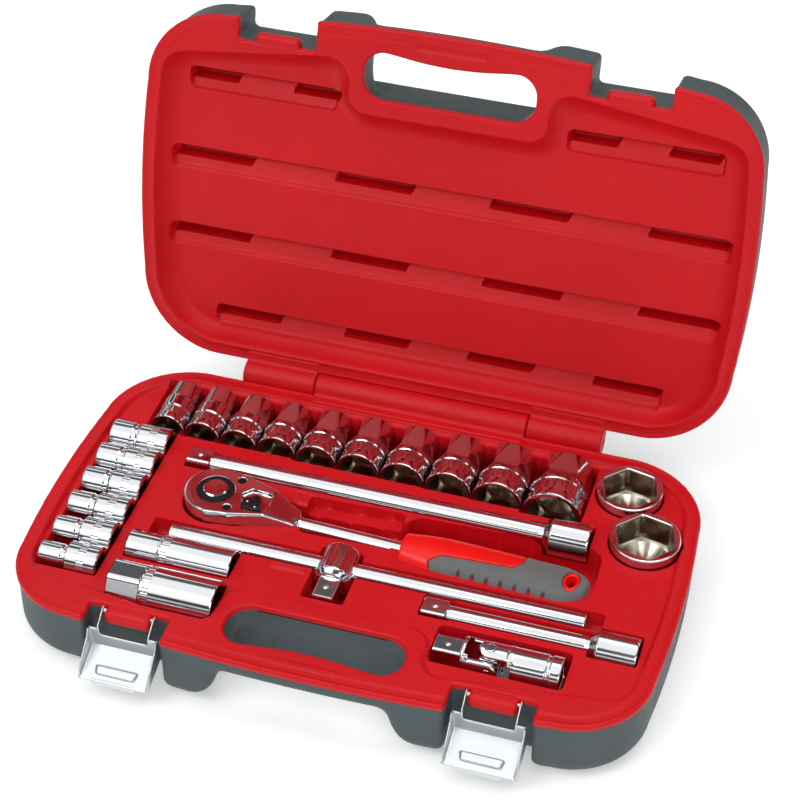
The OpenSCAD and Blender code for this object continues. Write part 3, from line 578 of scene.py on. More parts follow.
# ---------------------------------------------------------------- case outline
@dataclass
class Outline:
    """Plan of the rim: bowed front and side edges joined by round corners, millimetres from the hinge."""

    half_w: float = 187.0
    front: float = 229.5
    back: float = 8.0
    corner_f: float = 46.0
    corner_b: float = 52.0
    bow_f: float = 8.8
    bow_s: float = 3.0
    notch_x: float = 106.0
    notch_half: float = 24.0
    notch_y: float = -217.0
    grip_half: float = 52.0
    grip_in: float = 194.0
    grip_gap: float = 29.0
    swell: float = 3.3
    swell_r: float = 206.0

    def rim(self, x: Array, y: Array) -> Array:
        """Distance to the rim's outer edge: arcs for the long sides, circles in the corner quarters."""
        q = np.abs(x)
        run = self.half_w - self.corner_f
        rf = (run ** 2 + self.bow_f ** 2) / (2 * self.bow_f)
        sh = (self.front - self.corner_f - self.back - self.corner_b) / 2
        sm = (self.front - self.corner_f + self.back + self.corner_b) / 2
        rs = (sh * sh + self.bow_s ** 2) / (2 * self.bow_s)
        front = np.hypot(x, y + self.front + self.bow_f - rf) - rf
        side = np.hypot(q - (self.half_w + self.bow_s - rs), y + sm) - rs
        d = np.maximum(np.maximum(front, side), y + self.back)
        yf, yb, xb = -(self.front - self.corner_f), -(self.back + self.corner_b), self.half_w - self.corner_b
        d = np.where((q > run) & (y < yf), np.hypot(q - run, y - yf) - self.corner_f, d)
        return np.where((q > xb) & (y > yb), np.hypot(q - xb, y - yb) - self.corner_b, d)

    def opening(self, x: Array, y: Array) -> Array:
        """Distance to the hand opening, whose outer side swells inwards a little."""
        cy = -self.grip_in - self.grip_gap / 2
        d = box_plan(x, y, 0, cy, self.grip_half, self.grip_gap / 2, 13)
        bar = self.swell_r - np.hypot(x, y + self.grip_in + self.grip_gap + self.swell_r - self.swell)
        return smax(d, bar, 1.5)

    def notches(self, x: Array, y: Array) -> Array:
        """Distance to the two latch notches in the front edge."""
        return box_plan(np.abs(x), y, self.notch_x, self.notch_y - 40, self.notch_half, 40, 2.5)

    def plate(self, x: Array, y: Array) -> Array:
        """Distance to the liner's whole plan: rim less opening and notches."""
        d = np.maximum(self.rim(x, y), -self.opening(x, y))
        return smax(d, -self.notches(x, y), 2.0)

    def panel(self, x: Array, y: Array, land: float = 8.5) -> Array:
        """Distance to the sunk field inside the land, which steps round the opening, notches and hinge."""
        d = np.maximum(self.rim(x, y) + land, y + self.back + 9)
        q = np.abs(x)
        front = -y - 216 + 0.12 * np.maximum(q - 72, 0)
        d = smax(d, front, 9)
        hand = box_plan(x, y, 0, -230, self.grip_half + 8, 46, 12)
        return smax(d, -hand, 16)


OUTLINE = Outline()


@dataclass(frozen=True)
class Tray:
    """Places and sizes of the tools that the tray and the tools themselves both need."""

    small_at: tuple[float, float, float] = (-156.0, -184.8, -5.0)
    small_pitch: float = 21.7
    small_od: float = 21.2
    small_len: float = 37.0
    row_x: float = -147.0
    row_back: float = -22.0
    row_z: float = -8.0
    spark_at: tuple = ((-128, -164.0, -6.0), (-126, -195.0, -5.0))
    spark_od: tuple = (22.0, 28.0)
    spark_len: float = 64.0
    bars: tuple = (("extension_long", -122.3, -84.1, 250.0, -5.0),
                   ("extension_short", 48.5, -162.0, 125.0, -8.0))
    ratchet_at: tuple[float, float] = (-92.8, -115.5)
    ratchet_turn: float = 2.2


TRAY = Tray()


@dataclass
class Field:
    """Height field over a plan, cut to the plan's edge and given a turned-down rim."""

    step: float = 0.75
    skirt: float = 2.0

    def build(self, plan: Plan, height: Plan, lo: tuple[float, float], hi: tuple[float, float],
              creases: Sequence[Plan] = ()) -> tuple[Array, Array]:
        """Samples the height on a square grid and fits it to the plan.

        Grid cells whose middle lies inside the plan are kept. Border nodes move onto the plan's edge,
        and nodes within half a cell of a crease move onto it, each by minus distance times gradient.
        The border is then carried down by the skirt.

        Args:
            plan: distance to the plan's edge, negative inside.
            height: height over the plan.
            lo: lowest corner.
            hi: highest corner.
            creases: distances whose zero lines should be met exactly.

        Returns:
            Vertices and quads, facing up.
        """
        h = self.step
        nx, ny = int(round((hi[0] - lo[0]) / h)) + 1, int(round((hi[1] - lo[1]) / h)) + 1
        x, y = np.meshgrid(np.linspace(lo[0], hi[0], nx), np.linspace(lo[1], hi[1], ny), indexing="ij")
        mid = plan((x[:-1, :-1] + x[1:, 1:]) / 2, (y[:-1, :-1] + y[1:, 1:]) / 2) < 0
        used = np.zeros(x.shape, np.int8)
        for a in (0, 1):
            for b in (0, 1):
                used[a:nx - 1 + a, b:ny - 1 + b] += mid
        full = np.full(x.shape, 4)
        full[[0, -1], :] //= 2
        full[:, [0, -1]] //= 2
        border = (used > 0) & (used < full)

        def snap(d: Plan, mask: Array) -> None:
            """Moves the masked nodes onto the zero line of d."""
            for _ in range(2):
                px, py = x[mask], y[mask]
                f = d(px, py)
                gx, gy = (d(px + 0.02, py) - f) / 0.02, (d(px, py + 0.02) - f) / 0.02
                n = np.maximum(gx * gx + gy * gy, 0.3)
                x[mask], y[mask] = px - f * gx / n, py - f * gy / n

        for c in creases:
            near = (np.abs(c(x, y)) < 0.5 * h) & (used == full)
            near[[0, -1], :] = False
            near[:, [0, -1]] = False
            snap(c, near)
        snap(plan, border)
        z = height(x, y)
        live = used > 0
        index = np.full(x.shape, -1, np.int64)
        index[live] = np.arange(int(live.sum()))
        v = np.stack([x[live], y[live], z[live]], 1)
        i, j = np.nonzero(mid)
        q = np.stack([index[i, j], index[i + 1, j], index[i + 1, j + 1], index[i, j + 1]], 1)
        e = np.concatenate([q[:, [k, (k + 1) % 4]] for k in range(4)])
        key = np.minimum(e[:, 0], e[:, 1]) * len(v) + np.maximum(e[:, 0], e[:, 1])
        _, first, count = np.unique(key, return_index=True, return_counts=True)
        rim = e[first[count == 1]]
        rim = rim[~np.all(np.abs(v[rim, 0]) < 1e-6, axis=1)]
        ring = np.unique(rim)
        low = np.full(len(v), -1, np.int64)
        low[ring] = len(v) + np.arange(len(ring))
        down = v[ring] - np.array([0, 0, self.skirt])
        wall = np.stack([rim[:, 1], rim[:, 0], low[rim[:, 0]], low[rim[:, 1]]], 1)
        return np.concatenate([v, down]), np.concatenate([q, wall])


# ---------------------------------------------------------------- base liner
@dataclass
class Trough:
    """A round-bottomed pocket for a bar or socket lying along X or Y."""

    x0: float
    x1: float
    y0: float
    y1: float
    r: float
    z: float = -5.0
    along_x: bool = True
    fit: float = 0.8

    def plan(self, x: Array, y: Array) -> Array:
        """Distance to the pocket's mouth."""
        g = self.fit
        return box_plan(x, y, (self.x0 + self.x1) / 2, (self.y0 + self.y1) / 2,
                        (self.x1 - self.x0) / 2 + g, (self.y1 - self.y0) / 2 + g, 1.8)

    def floor(self, x: Array, y: Array) -> Array:
        """Height of the half-round floor: axis height minus the chord depth."""
        c = y - (self.y0 + self.y1) / 2 if self.along_x else x - (self.x0 + self.x1) / 2
        r = self.r + self.fit
        return self.z - np.sqrt(np.maximum(r * r - c * c, 0.0))


@dataclass
class CaseLiner:
    """What the two red liners share: land, groove along it, rounded outer edge."""

    half: Half
    step: float = 0.75

    def land(self, x: Array, y: Array) -> Array:
        """Height of the land: a shallow groove between two lips, with the outer edge rounded over."""
        d = OUTLINE.plate(x, y)
        r = 1.6
        edge = r - np.sqrt(np.maximum(r * r - np.maximum(r + np.maximum(d, -r), 0) ** 2, 0))
        e = OUTLINE.rim(x, y)
        groove = ease((-e - 1.6) / 1.4) * ease((e + 7.6) / 1.2)
        return RIM_TOP - edge - 0.55 * groove

    def height(self, x: Array, y: Array) -> Array:
        """Height of the finished liner, filled in by each half."""
        return self.land(x, y)

    def creases(self) -> list[Plan]:
        """Lines that the grid should meet."""
        return [OUTLINE.panel]

    def build(self) -> list[bpy.types.Object]:
        """Builds the left and right mouldings of the liner's pan."""
        made = []
        for tag, x0, x1 in (("left", -192.0, 0.0), ("right", 0.0, 192.0)):
            lo, hi = (x0, -240.0), (x1, -6.0)
            v, q = Field(self.step).build(OUTLINE.plate, self.height, lo, hi, self.creases())
            v = self.half.to_frame(v)
            if self.half is Half.LID:
                q = q[:, ::-1]
            ob = MeshMaker.put(f"{self.half.value}_liner_pan_{tag}", v, [q], 50)
            made.append(place(ob, "red", f"{self.half.value}_liner"))
        return made


@dataclass
class BaseLiner(CaseLiner):
    """Red tool tray with a pocket for every tool."""

    half: Half = Half.BASE
    deck: float = -3.0

    def troughs(self) -> list[Trough]:
        """Round-bottomed pockets for everything that lies down."""
        out = []
        small_x, small_y, small_z = TRAY.small_at
        long, r = TRAY.small_len / 2, TRAY.small_od / 2
        for i in range(6):
            y = small_y + i * TRAY.small_pitch
            out.append(Trough(small_x - long, small_x + long, y - r, y + r, r, small_z))
        for x, od, l in RowSockets().spots():
            back = TRAY.row_back
            out.append(Trough(x - od / 2, x + od / 2, back - l, back, od / 2, TRAY.row_z, False))
        for (x0, y, z), od in zip(TRAY.spark_at, TRAY.spark_od):
            out.append(Trough(x0, x0 + TRAY.spark_len, y - od / 2, y + od / 2, od / 2, z))
        for _, x0, y, l, z in TRAY.bars:
            out.append(Trough(x0, x0 + l, y - 6.5, y + 6.5, 6.5, z))
            out.append(Trough(x0, x0 + 17, y - 7.6, y + 7.6, 8.4, z))
            out.append(Trough(x0 + l - 27, x0 + l, y - 11.25, y + 11.25, 11.25, z))
        out.append(Trough(-121, 149, -152.6, -140.2, 6.2, -7.0))
        out.append(Trough(-19, 5, -175.4, -134.9, 12.0, -7.0, False))
        return out

    def wells(self, x: Array, y: Array) -> list[tuple[Array, Array]]:
        """Mouth distance and floor of each flat-bottomed pocket."""
        rx, ry = turned(x, y, *TRAY.ratchet_at, -TRAY.ratchet_turn)
        head = np.hypot(rx, ry) - 20.2
        neck = polygon(rx, ry, mirrored([(0, 19.8), (16, 18.6), (34, 12.8), (48, 8.8), (120, 8.8)]))
        grip = box_plan(rx, ry, 173, 0, 58, 17.0, 10)
        finger = box_plan(rx, ry, 83, 2.3, 29.5, 15.6, 5)
        return [
            (np.minimum(head, neck), np.full(x.shape, -14.6)),
            (np.hypot(rx, ry) - 11.2, np.full(x.shape, -31.0)),
            (grip, np.full(x.shape, -20.0)),
            (finger, np.full(x.shape, -9.4)),
            (box_plan(x, y, 101, -188.3, 38.6, 14.4, 4), np.full(x.shape, -21.6)),
            (np.hypot(x - 158.5, y + 77) - 21.8, np.full(x.shape, -38.9)),
            (np.hypot(x - 141, y + 38.6) - 20.6, np.full(x.shape, -38.9)),
        ]

    def creases(self) -> list[Plan]:
        """Pocket mouths and the panel's step."""
        every = self.troughs()

        def mouth(x: Array, y: Array) -> Array:
            """Distance to the union of all pocket mouths."""
            d = np.full(x.shape, 1e9)
            for t in every:
                d = np.minimum(d, t.plan(x, y))
            for w, _ in self.wells(x, y):
                d = np.minimum(d, w)
            return d
        return [OUTLINE.panel, mouth]

    def height(self, x: Array, y: Array) -> Array:
        """Land, sunk deck and pockets; each pocket's wall falls within a millimetre of its mouth."""
        z = self.land(x, y)
        z = z + (self.deck - z) * ease(-OUTLINE.panel(x, y) / 2.2)
        out = z.copy()
        for t in self.troughs():
            out = np.minimum(out, z + (np.minimum(t.floor(x, y), z) - z) * ease(-t.plan(x, y) / 0.9))
        for d, f in self.wells(x, y):
            out = np.minimum(out, z + (f - z) * ease(-d / 1.1))
        for cx, od, l in RowSockets().spots():
            front = box_plan(x, y, cx, TRAY.row_back - l - 2.6, od / 2 + 0.4, 4.2, 1.5)
            floor = TRAY.row_z - 0.42 * od + 0.5 * np.maximum(TRAY.row_back - l - y, 0)
            out = np.minimum(out, z + (np.minimum(floor, z) - z) * ease(-front / 1.2))
        for pad in (((-49.9, -94.4), (26.2, -99.0), (22.0, -105.4), (-46.7, -103.6)),
                    ((59.9, -95.9), (92.8, -98.9), (92.8, -103.5), (59.9, -103.5)),
                    ((-43.4, -155.6), (-23.0, -155.6), (-23.0, -158.6), (-43.4, -158.6))):
            lift = ease(-(polygon(x, y, pad) - 1.0) / 1.8)
            raised = np.where(out > self.deck - 0.3, self.deck + 1.1 * lift, out)
            out = np.where(lift > 0, np.maximum(out, raised), out)
        rib = box_plan(x, y, 0, -229.6, 19.5, 1, 1)
        return np.maximum(out, np.where(rib < 0.8, -0.1 + 1.25 * ease((0.8 - rib) / 1.2), -99))


@dataclass
class LidLiner(CaseLiner):
    """Red inside of the lid: a deep soft-walled recess with rows of wedge-shaped slots."""

    half: Half = Half.LID
    drop: float = 12.0
    slots: tuple = (
        (-163, -71, 191.6, (-163, -98), 30), (71, 163, 191.6, (71, 131), 30),
        (-173, 174, 140, (-171, -69, 28, 125), 49), (-173, 174, 88.6, (-171, -69, 28, 125), 49),
        (-141, 145, 37.2, (-141, -57, 23, 103), 42))

    @staticmethod
    def slot(x: Array, y: Array, row: tuple) -> Array:
        """Distance to the mouth of a row's long slot."""
        x0, x1, v = row[:3]
        return box_plan(x, y, (x0 + x1) / 2, -v + 6.75, (x1 - x0) / 2 + 0.8, 7.6, 4.0)

    def height(self, x: Array, y: Array) -> Array:
        """Land, recess and slots; a slot is deepest at its edge away from the hinge."""
        z = self.land(x, y)
        width = 8.5 + 5.5 * ease((-y - 24) / 20)
        t = np.clip(-OUTLINE.panel(x, y) / width, 0, 1)
        z = z - (z + self.drop) * (1 - (1 - t) ** 2)
        for row in self.slots:
            d = self.slot(x, y, row)
            v, starts, length = row[2:]
            fall = -1.6 - 5.9 * np.clip((-v + 14 - y) / 14, 0, 1)
            z = z + fall * ease(-d / 1.8)
            for s in starts:
                lean = 0.35 * (y + v - 3.5)
                p = box_plan(x + lean, y, s + length / 2, -v + 3.7, length / 2, 3.9, 1.4)
                z = z - 9.0 * ease(-p / 1.0)
        groove = box_plan(x, y, 0, -229.6, 21.5, 2, 1)
        return z - 1.3 * ease(-groove / 0.8)

    def creases(self) -> list[Plan]:
        """Slot mouths."""
        def mouth(x: Array, y: Array) -> Array:
            """Distance to the union of the slots."""
            d = np.full(x.shape, 1e9)
            for row in self.slots:
                d = np.minimum(d, self.slot(x, y, row))
            return d
        return [mouth]


@dataclass
class CaseShell:
    """Grey blow-moulded outer shell of one half, with soft edges and a bay under the handle."""

    half: Half
    depth: float
    step: float = 1.7
    round_edge: float = 13.0
    bar_depth: float = 14.0
    lobe: float = 27.0

    def solid(self, x: Array, y: Array, z: Array) -> Array:
        """Distance: outline carried down and rounded under, less bay, opening, notches and the inside."""
        h, r = self.depth, self.round_edge
        e = OUTLINE.rim(x, y) + 1.0
        a, b = e + r, -h + r - z
        d = np.hypot(np.maximum(a, 0), np.maximum(b, 0)) + np.minimum(np.maximum(a, b), 0) - r
        big = self.lobe
        lobe = big - np.sqrt(np.maximum(big * big - np.minimum(z + h - big - 0.5, 0) ** 2, 0))
        bay = np.maximum(smax(np.abs(x) - 50 - lobe, z + self.bar_depth, 10), y + 193)
        d = smax(d, -bay, 6.0)
        d = smax(d, -OUTLINE.opening(x, y), 2.5)
        d = smax(d, -OUTLINE.notches(x, y) + np.maximum(-z - h + 12, 0) ** 2 * 0.05, 3.0)
        hinge = np.maximum(np.hypot(y, z) - 9.6, np.abs(x) - 117)
        d = smax(d, -hinge, 1.0)
        d = smax(d, z + 2.2, 0.6)
        room = smax(smax(OUTLINE.plate(x, y) + 4.5, 3.0 - bay, 4.0), -h + 3.2 - z, 16.0)
        return smax(d, -room, 0.8)

    def build(self) -> bpy.types.Object:
        """Builds the shell's surface."""
        v, q = MeshMaker.net(self.solid, (-193.5, -243, -self.depth - 3.4), (193.5, -3, 1.7), self.step)
        v = self.half.to_frame(v)
        if self.half is Half.LID:
            q = q[:, ::-1]
        ob = MeshMaker.put(f"{self.half.value}_shell_outer", v, [q], 60)
        return place(ob, "grey", f"{self.half.value}_shell")


@dataclass
class Trim:
    """Small moulded solids that join a liner: knuckles of the hinge and tabs of the latches."""

    half: Half

    def emit(self, name: str, solid: Solid, lo: Sequence[float], hi: Sequence[float], step: float) -> None:
        """Builds one solid and lets it ride with its liner."""
        v, q = MeshMaker.net(solid, lo, hi, step)
        v = self.half.to_frame(v)
        if self.half is Half.LID:
            q = q[:, ::-1]
        place(MeshMaker.put(name, v, [q], 60), "red", f"{self.half.value}_liner")

    def build(self) -> None:
        """Builds the half's knuckles and two tabs."""
        spans = [(-68.0, 68.0)] if self.half is Half.BASE else [(-115.6, -68.6), (68.6, 115.6)]
        for n, (x0, x1) in enumerate(spans):

            def knuckle(x: Array, y: Array, z: Array, a: float = x0, b: float = x1) -> Array:
                """A round barrel on a web, bored for the pin."""
                web = block((x, y, z), (a - 9, -15, -8.5), (b + 9, -1, RIM_TOP), 1.0)
                d = smin(np.hypot(y, z) - 8.5, web, 2.5)
                d = smax(d, np.abs(x - (a + b) / 2) - (b - a) / 2, 1.2)
                return smax(d, -(np.hypot(y, z) - 2.1), 0.3)
            lo, hi = (x0 - 1.5, -17, -10), (x1 + 1.5, 10, 10)
            self.emit(f"{self.half.value}_knuckle_{n}", knuckle, lo, hi, 0.85)
        y0, h = (-224.2, 9.5) if self.half is Half.BASE else (-222.3, 8.1)
        for tag, s in (("left", -1), ("right", 1)):
            at = s * OUTLINE.notch_x

            def tab(x: Array, y: Array, z: Array, c: float = at) -> Array:
                """A rounded bar on the notch's back wall."""
                return block((x, y, z), (c - 13.9, y0, -h), (c + 13.9, -214.0, RIM_TOP), 3.4)
            lo, hi = (at - 16, y0 - 2, -h - 2), (at + 16, -213, 2)
            self.emit(f"{self.half.value}_tab_{tag}", tab, lo, hi, 0.6)


# ---------------------------------------------------------------- latches
@dataclass
class Latch:
    """Bent sheet latch hooked round the tab: back wall, scooped plate, flanges, two arms."""

    side: int
    w: float = 42.0
    t: float = 1.2
    tab: float = 28.0
    pivot: tuple[float, float] = (-219.5, -2.8)
    edge: tuple[float, float] = (-10.1, -6.0)
    bend: tuple[float, float] = (-9.2, -18.6)
    reach: float = 21.0
    slope: float = 22.0

    def solid(self, x: Array, y: Array, z: Array) -> Array:
        """Distance to the sheet: plates carried across, flanges and arms as side plates."""
        t, w = self.t, self.w
        e, b = np.array(self.edge), np.array(self.bend)
        out = -np.array([math.cos(math.radians(self.slope)), math.sin(math.radians(self.slope))])
        f = b + self.reach * out
        lip = f + np.array([-0.4, -3.0])

        def seg(p: Array, q: Array) -> Array:
            """Distance to a segment of the side profile."""
            dx, dy = q - p
            s = np.clip(((y - p[0]) * dx + (z - p[1]) * dy) / (dx * dx + dy * dy), 0, 1)
            return np.hypot(y - p[0] - s * dx, z - p[1] - s * dy)
        half = w / 2
        ax = np.abs(x)
        lip_half = 13.0
        wall = seg(e + [t / 2, 0], b + [t / 2, -t / 2])
        scoop = seg(b + [0, -t / 2], f + [0, -t / 2])
        sheet = smax(np.minimum(wall, scoop) - t / 2, ax - half, 0.8)
        drop = smax(seg(f + [0, -t / 2], lip + [t / 2, 0]) - t / 2, ax - lip_half, 1.6)
        along = (y - b[0]) * out[0] + (z - b[1]) * out[1]
        up = -(y - b[0]) * out[1] + (z - b[1]) * out[0]
        width = 12.5 - 0.25 * (along - 12)
        bead = block((x * (10 / width), along, up * -1 - 0.7), (-10, 12.5, -0.9), (10, 17.5, 1.0), 0.9)
        side = polygon(y, z, [
            tuple(e + [t, 0.4]), tuple(b + [t, -t]), tuple(f + [0, -t]), tuple(f + [0.2, 1.6]),
            tuple(f + [4, 8.0]), (b[0] - 5, b[1] + 9.5), (e[0] - 2, e[1] + 1.5)])
        flange = smax(np.abs(ax - half + t / 2) - t / 2, side, 0.8)
        arm_x = self.tab / 2 + 0.7 + t / 2
        arm = polygon(y, z, [
            tuple(e + [0, -4]), tuple(e + [t, -4]), tuple(e + [4.6, 0.4]), (1.9, -2.2), (2.1, 1.8),
            (-1.2, 2.6), tuple(e + [0, 2.2])])
        arms = smax(np.abs(ax - arm_x) - t / 2, np.minimum(arm, np.hypot(y, z) - 2.7), 0.8)
        stub = rod(y, z, ax, 1.2, self.tab / 2 - 3.3, arm_x, 0.5)
        gap = self.tab / 2 + 0.4
        window = block((ax, y, z), (-1, e[0] - 3, e[1] - 4.2), (gap, e[0] + 4, e[1] + 5), 2.0)
        sheet = smax(sheet, -window, 0.8)
        d = smin(sheet, drop, 0.8)
        d = smin(d, flange, 0.9)
        d = smin(d, bead, 1.2)
        return smin(smin(d, arms, 0.6), stub, 0.3)

    def build(self) -> None:
        """Builds the latch on its pivot."""
        name = "left" if self.side < 0 else "right"
        v, q = MeshMaker.net(self.solid, (-23, -36, -38), (23, 5, 5), 0.5)
        v = v + np.array([self.side * OUTLINE.notch_x, *self.pivot]) + HINGE
        place(MeshMaker.put(f"latch_{name}_sheet", v, [q], 50), "zinc", f"latch_{name}")


# ---------------------------------------------------------------- sockets
@dataclass
class Socket:
    """A chrome socket drawn standing on its drive end."""

    number: int
    length: float
    stations: list
    hex_af: float
    hex_deep: float
    count: int = 96
    turn: float = 0.0

    def bore(self) -> list[tuple[float, Array]]:
        """Stations down the six-sided bore and out of the square drive hole."""
        n, l, a = self.count, self.length, self.hex_af / 2
        hexa = sides(6, a, n, self.turn, 0.03)
        wide = np.maximum(hexa, a * 1.09)
        mid = np.full(n, a - 1.25)
        sq = sides(4, 6.45, n, 45, 0.05)
        drive = min(15.0, l * 0.4)
        if a < 14:
            mouth = [(l - 0.25, wide + 0.2), (l - 1.6, hexa)]
        else:
            mouth = [(l - 0.3, hexa + 0.5), (l - 1.2, hexa)]
        return mouth + [
            (l - self.hex_deep, hexa), (l - self.hex_deep - 0.6, mid),
            (drive + 0.6, np.minimum(mid, 6.4)), (drive, sq), (0.9, sq), (0.1, sq + 0.9)]

    def mesh(self, origin: Sequence[float], axis: str, node: str) -> bpy.types.Object:
        """Builds the socket in its place.

        Args:
            origin: place of the drive end's centre, from the hinge line.
            axis: way its open end points.
            node: CAD node it stands for.
        """
        full = [(z, np.broadcast_to(r, (self.count,)), band) for z, r, band in self.stations]
        outer = MeshMaker.braced(full)
        inner = MeshMaker.braced(self.bore())
        st = [(z, r) for z, r, _ in outer] + inner
        v, q = MeshMaker.rings(st, self.count)
        v = orient(v, origin, axis)
        band = np.array([b for _, _, b in outer] + [0.0] * len(inner))
        u = np.tile(np.arange(self.count) / self.count, len(st))
        uv = np.stack([u, np.repeat(band, self.count)], 1)
        ob = MeshMaker.put(f"{node}_turned", v, [q], 32, uv)
        place(ob, "knurl", node)
        ob.data.materials.append(PALETTE.get("bore"))
        k = len(outer)
        ring = np.arange(len(st)) >= k
        ob.data.polygons.foreach_set("material_index", np.repeat(ring, self.count).astype(np.int32))
        return ob


@dataclass
class SmallSockets:
    """Six sockets at the left, noses outwards, a knurled band round each barrel."""

    numbers: tuple = (10, 11, 12, 13, 14, 15)
    noses: tuple = (15.2, 16.4, 17.6, 18.6, 19.6, 20.6)

    def build(self) -> None:
        """Builds the six sockets."""
        l, r = TRAY.small_len, TRAY.small_od / 2
        x, y, z = TRAY.small_at
        for i, (no, nd) in enumerate(zip(self.numbers, self.noses)):
            n = nd / 2
            st = [
                (0.0, r - 1.4, 0), (0.1, r - 0.7, 0), (0.7, r, 0), (l * 0.2, r, 0),
                (l * 0.2 + 0.15, r - 0.15, 0.1), (l * 0.32, r - 0.15, 1.0), (l * 0.32 + 0.15, r, 0),
                (l * 0.51, r, 0), (l * 0.53, r - 0.5, 0), (l * 0.55, n + 0.35 * (r - n), 0),
                (l * 0.565, n - 0.5, 0), (l * 0.62, n - 0.5, 0), (l * 0.645, n, 0), (l - 0.7, n, 0),
                (l - 0.15, n - 0.25, 0), (l, n - 0.7, 0)]
            s = Socket(no, l, st, no, 14)
            s.mesh((x + l / 2, y + i * TRAY.small_pitch, z), "-x", f"socket_{no}")


@dataclass
class RowSockets:
    """Ten sockets in the back row, open ends to the front."""

    numbers: tuple = (16, 17, 18, 19, 20, 21, 22, 23, 24, 27)
    ods: tuple = (22, 23, 23.6, 25, 26, 27, 28, 29, 31.5, 36.4)
    lengths: tuple = (37, 37.5, 38, 38, 39, 39, 39.5, 40, 41, 43)
    gap: float = 0.5

    def spots(self) -> list[tuple[float, float, float]]:
        """Middle, diameter and length of each socket along the row."""
        od = np.array(self.ods, float)
        x = TRAY.row_x + np.concatenate([[0], np.cumsum((od[:-1] + od[1:]) / 2 + self.gap)])
        return list(zip(x, od, self.lengths))

    def build(self) -> None:
        """Builds the ten sockets; from the third on the drive end has six scooped flats."""
        for i, (x, od, l) in enumerate(self.spots()):
            r = od / 2
            full = np.full(96, r)
            wall = full
            if i < 2:
                rear = [(0.0, r - 2.2, 0), (0.1, r - 1.5, 0), (0.8, r - 0.8, 0), (l * 0.36, r - 0.8, 0),
                        (l * 0.4, r - 0.5, 0), (l * 0.42, r, 0)]
            else:
                flat = r * (0.83 if i > 2 else 0.86)
                wall = sides(6, flat, 96, 0)
                top = r - (0.55 if i > 2 else 0.3)
                rear = [(0.0, np.minimum(wall, flat * 1.02) - 0.9, 0)]
                for z in (0.02, 0.08, 0.15, 0.23, 0.32, 0.41, 0.485):
                    cone = flat * 1.02 + (top - flat * 1.02) * ease(np.array(z / 0.45)) ** 0.8
                    rear.append((l * z, np.minimum(wall, cone), 0))
            if i > 2:
                ring = [(l * 0.49, np.minimum(wall + 0.15 * r / 12, r), 0)]
                for z, swell in ((0.52, 1.06), (0.55, 1.12), (0.58, 1.22)):
                    ring.append((l * z, np.minimum(wall * swell, r), 0))
                ring += [(l * 0.63, full, 0), (l * 0.645, full - 0.5, 0)]
            else:
                ring = [(l * 0.5, full - 0.05, 0), (l * 0.64, full - 0.05, 0)]
            front = [
                (l * 0.67, full - 0.5, 0), (l * 0.72, full - 0.5, 0.1), (l * 0.83, full - 0.5, 1.0),
                (l * 0.84, full - 0.5, 0), (l * 0.915, full - 0.45, 0), (l * 0.93, full - 0.05, 0),
                (l - 0.6, full - 0.05, 0), (l - 0.15, full - 0.3, 0), (l, full - 0.8, 0)]
            no = self.numbers[i]
            s = Socket(no, l, rear + ring + front, no, 17)
            s.mesh((x, TRAY.row_back, TRAY.row_z), "-y", f"socket_{no}")


@dataclass
class UprightSockets:
    """The two largest sockets, standing on their drive ends."""

    spots: tuple = ((30, 141.0, -38.6, 39.6), (32, 158.5, -77.0, 42.0))
    length: float = 42.0
    turn: float = 47.0

    def build(self) -> None:
        """Builds both sockets with a bevelled mouth."""
        l = self.length
        for no, x, y, od in self.spots:
            r = od / 2
            st = [(0.0, r * 0.8 - 1.0, 0), (0.8, r * 0.8, 0), (l * 0.5, r * 0.8, 0), (l * 0.62, r, 0),
                  (l * 0.66, r, 0), (l * 0.67, r - 0.2, 0.1), (l * 0.84, r - 0.2, 1.0), (l * 0.85, r, 0),
                  (l - 1.0, r, 0), (l - 0.3, r - 0.35, 0), (l, r - 1.0, 0)]
            st = [(z, np.full(96, q), b) for z, q, b in st]
            hexa = sides(6, no / 2, 96, self.turn, 0.01)
            st += [(l, np.minimum(hexa + 0.9, r - 1.1), 0)]
            Socket(no, l, st, no, 17, turn=self.turn).mesh((x, y, -38.8), "+z", f"socket_{no}")


@dataclass
class SparkSockets:
    """Two long sockets lying side by side, with a soft insert each."""

    numbers: tuple = (16, 21)
    hexes: tuple = (16.0, 20.8)

    def build(self) -> None:
        """Builds both sockets; the larger has a six-sided drive end."""
        l = TRAY.spark_len
        for no, af, at, od in zip(self.numbers, self.hexes, TRAY.spark_at, TRAY.spark_od):
            r = od / 2
            rear = np.minimum(sides(6, 12.5, 96, 30), r - 0.2) if od > 25 else np.full(96, r - 0.4)
            full = np.full(96, r)
            st = [
                (0.0, rear - 0.9, 0), (0.7, rear, 0), (19.4, rear, 0), (20.6, full, 0), (21.5, full, 0),
                (21.7, full - 0.2, 0.1), (26, full - 0.2, 1.0), (26.2, full, 0), (l * 0.8, full, 0),
                (l - 0.7, full, 0), (l - 0.15, full - 0.3, 0), (l, full - 0.8, 0)]
            Socket(no, l, st, af, 20).mesh(at, "+x", f"spark_socket_{no}")
            PALETTE.dress(frame["nodes"][f"spark_insert_{no}"], "insert")


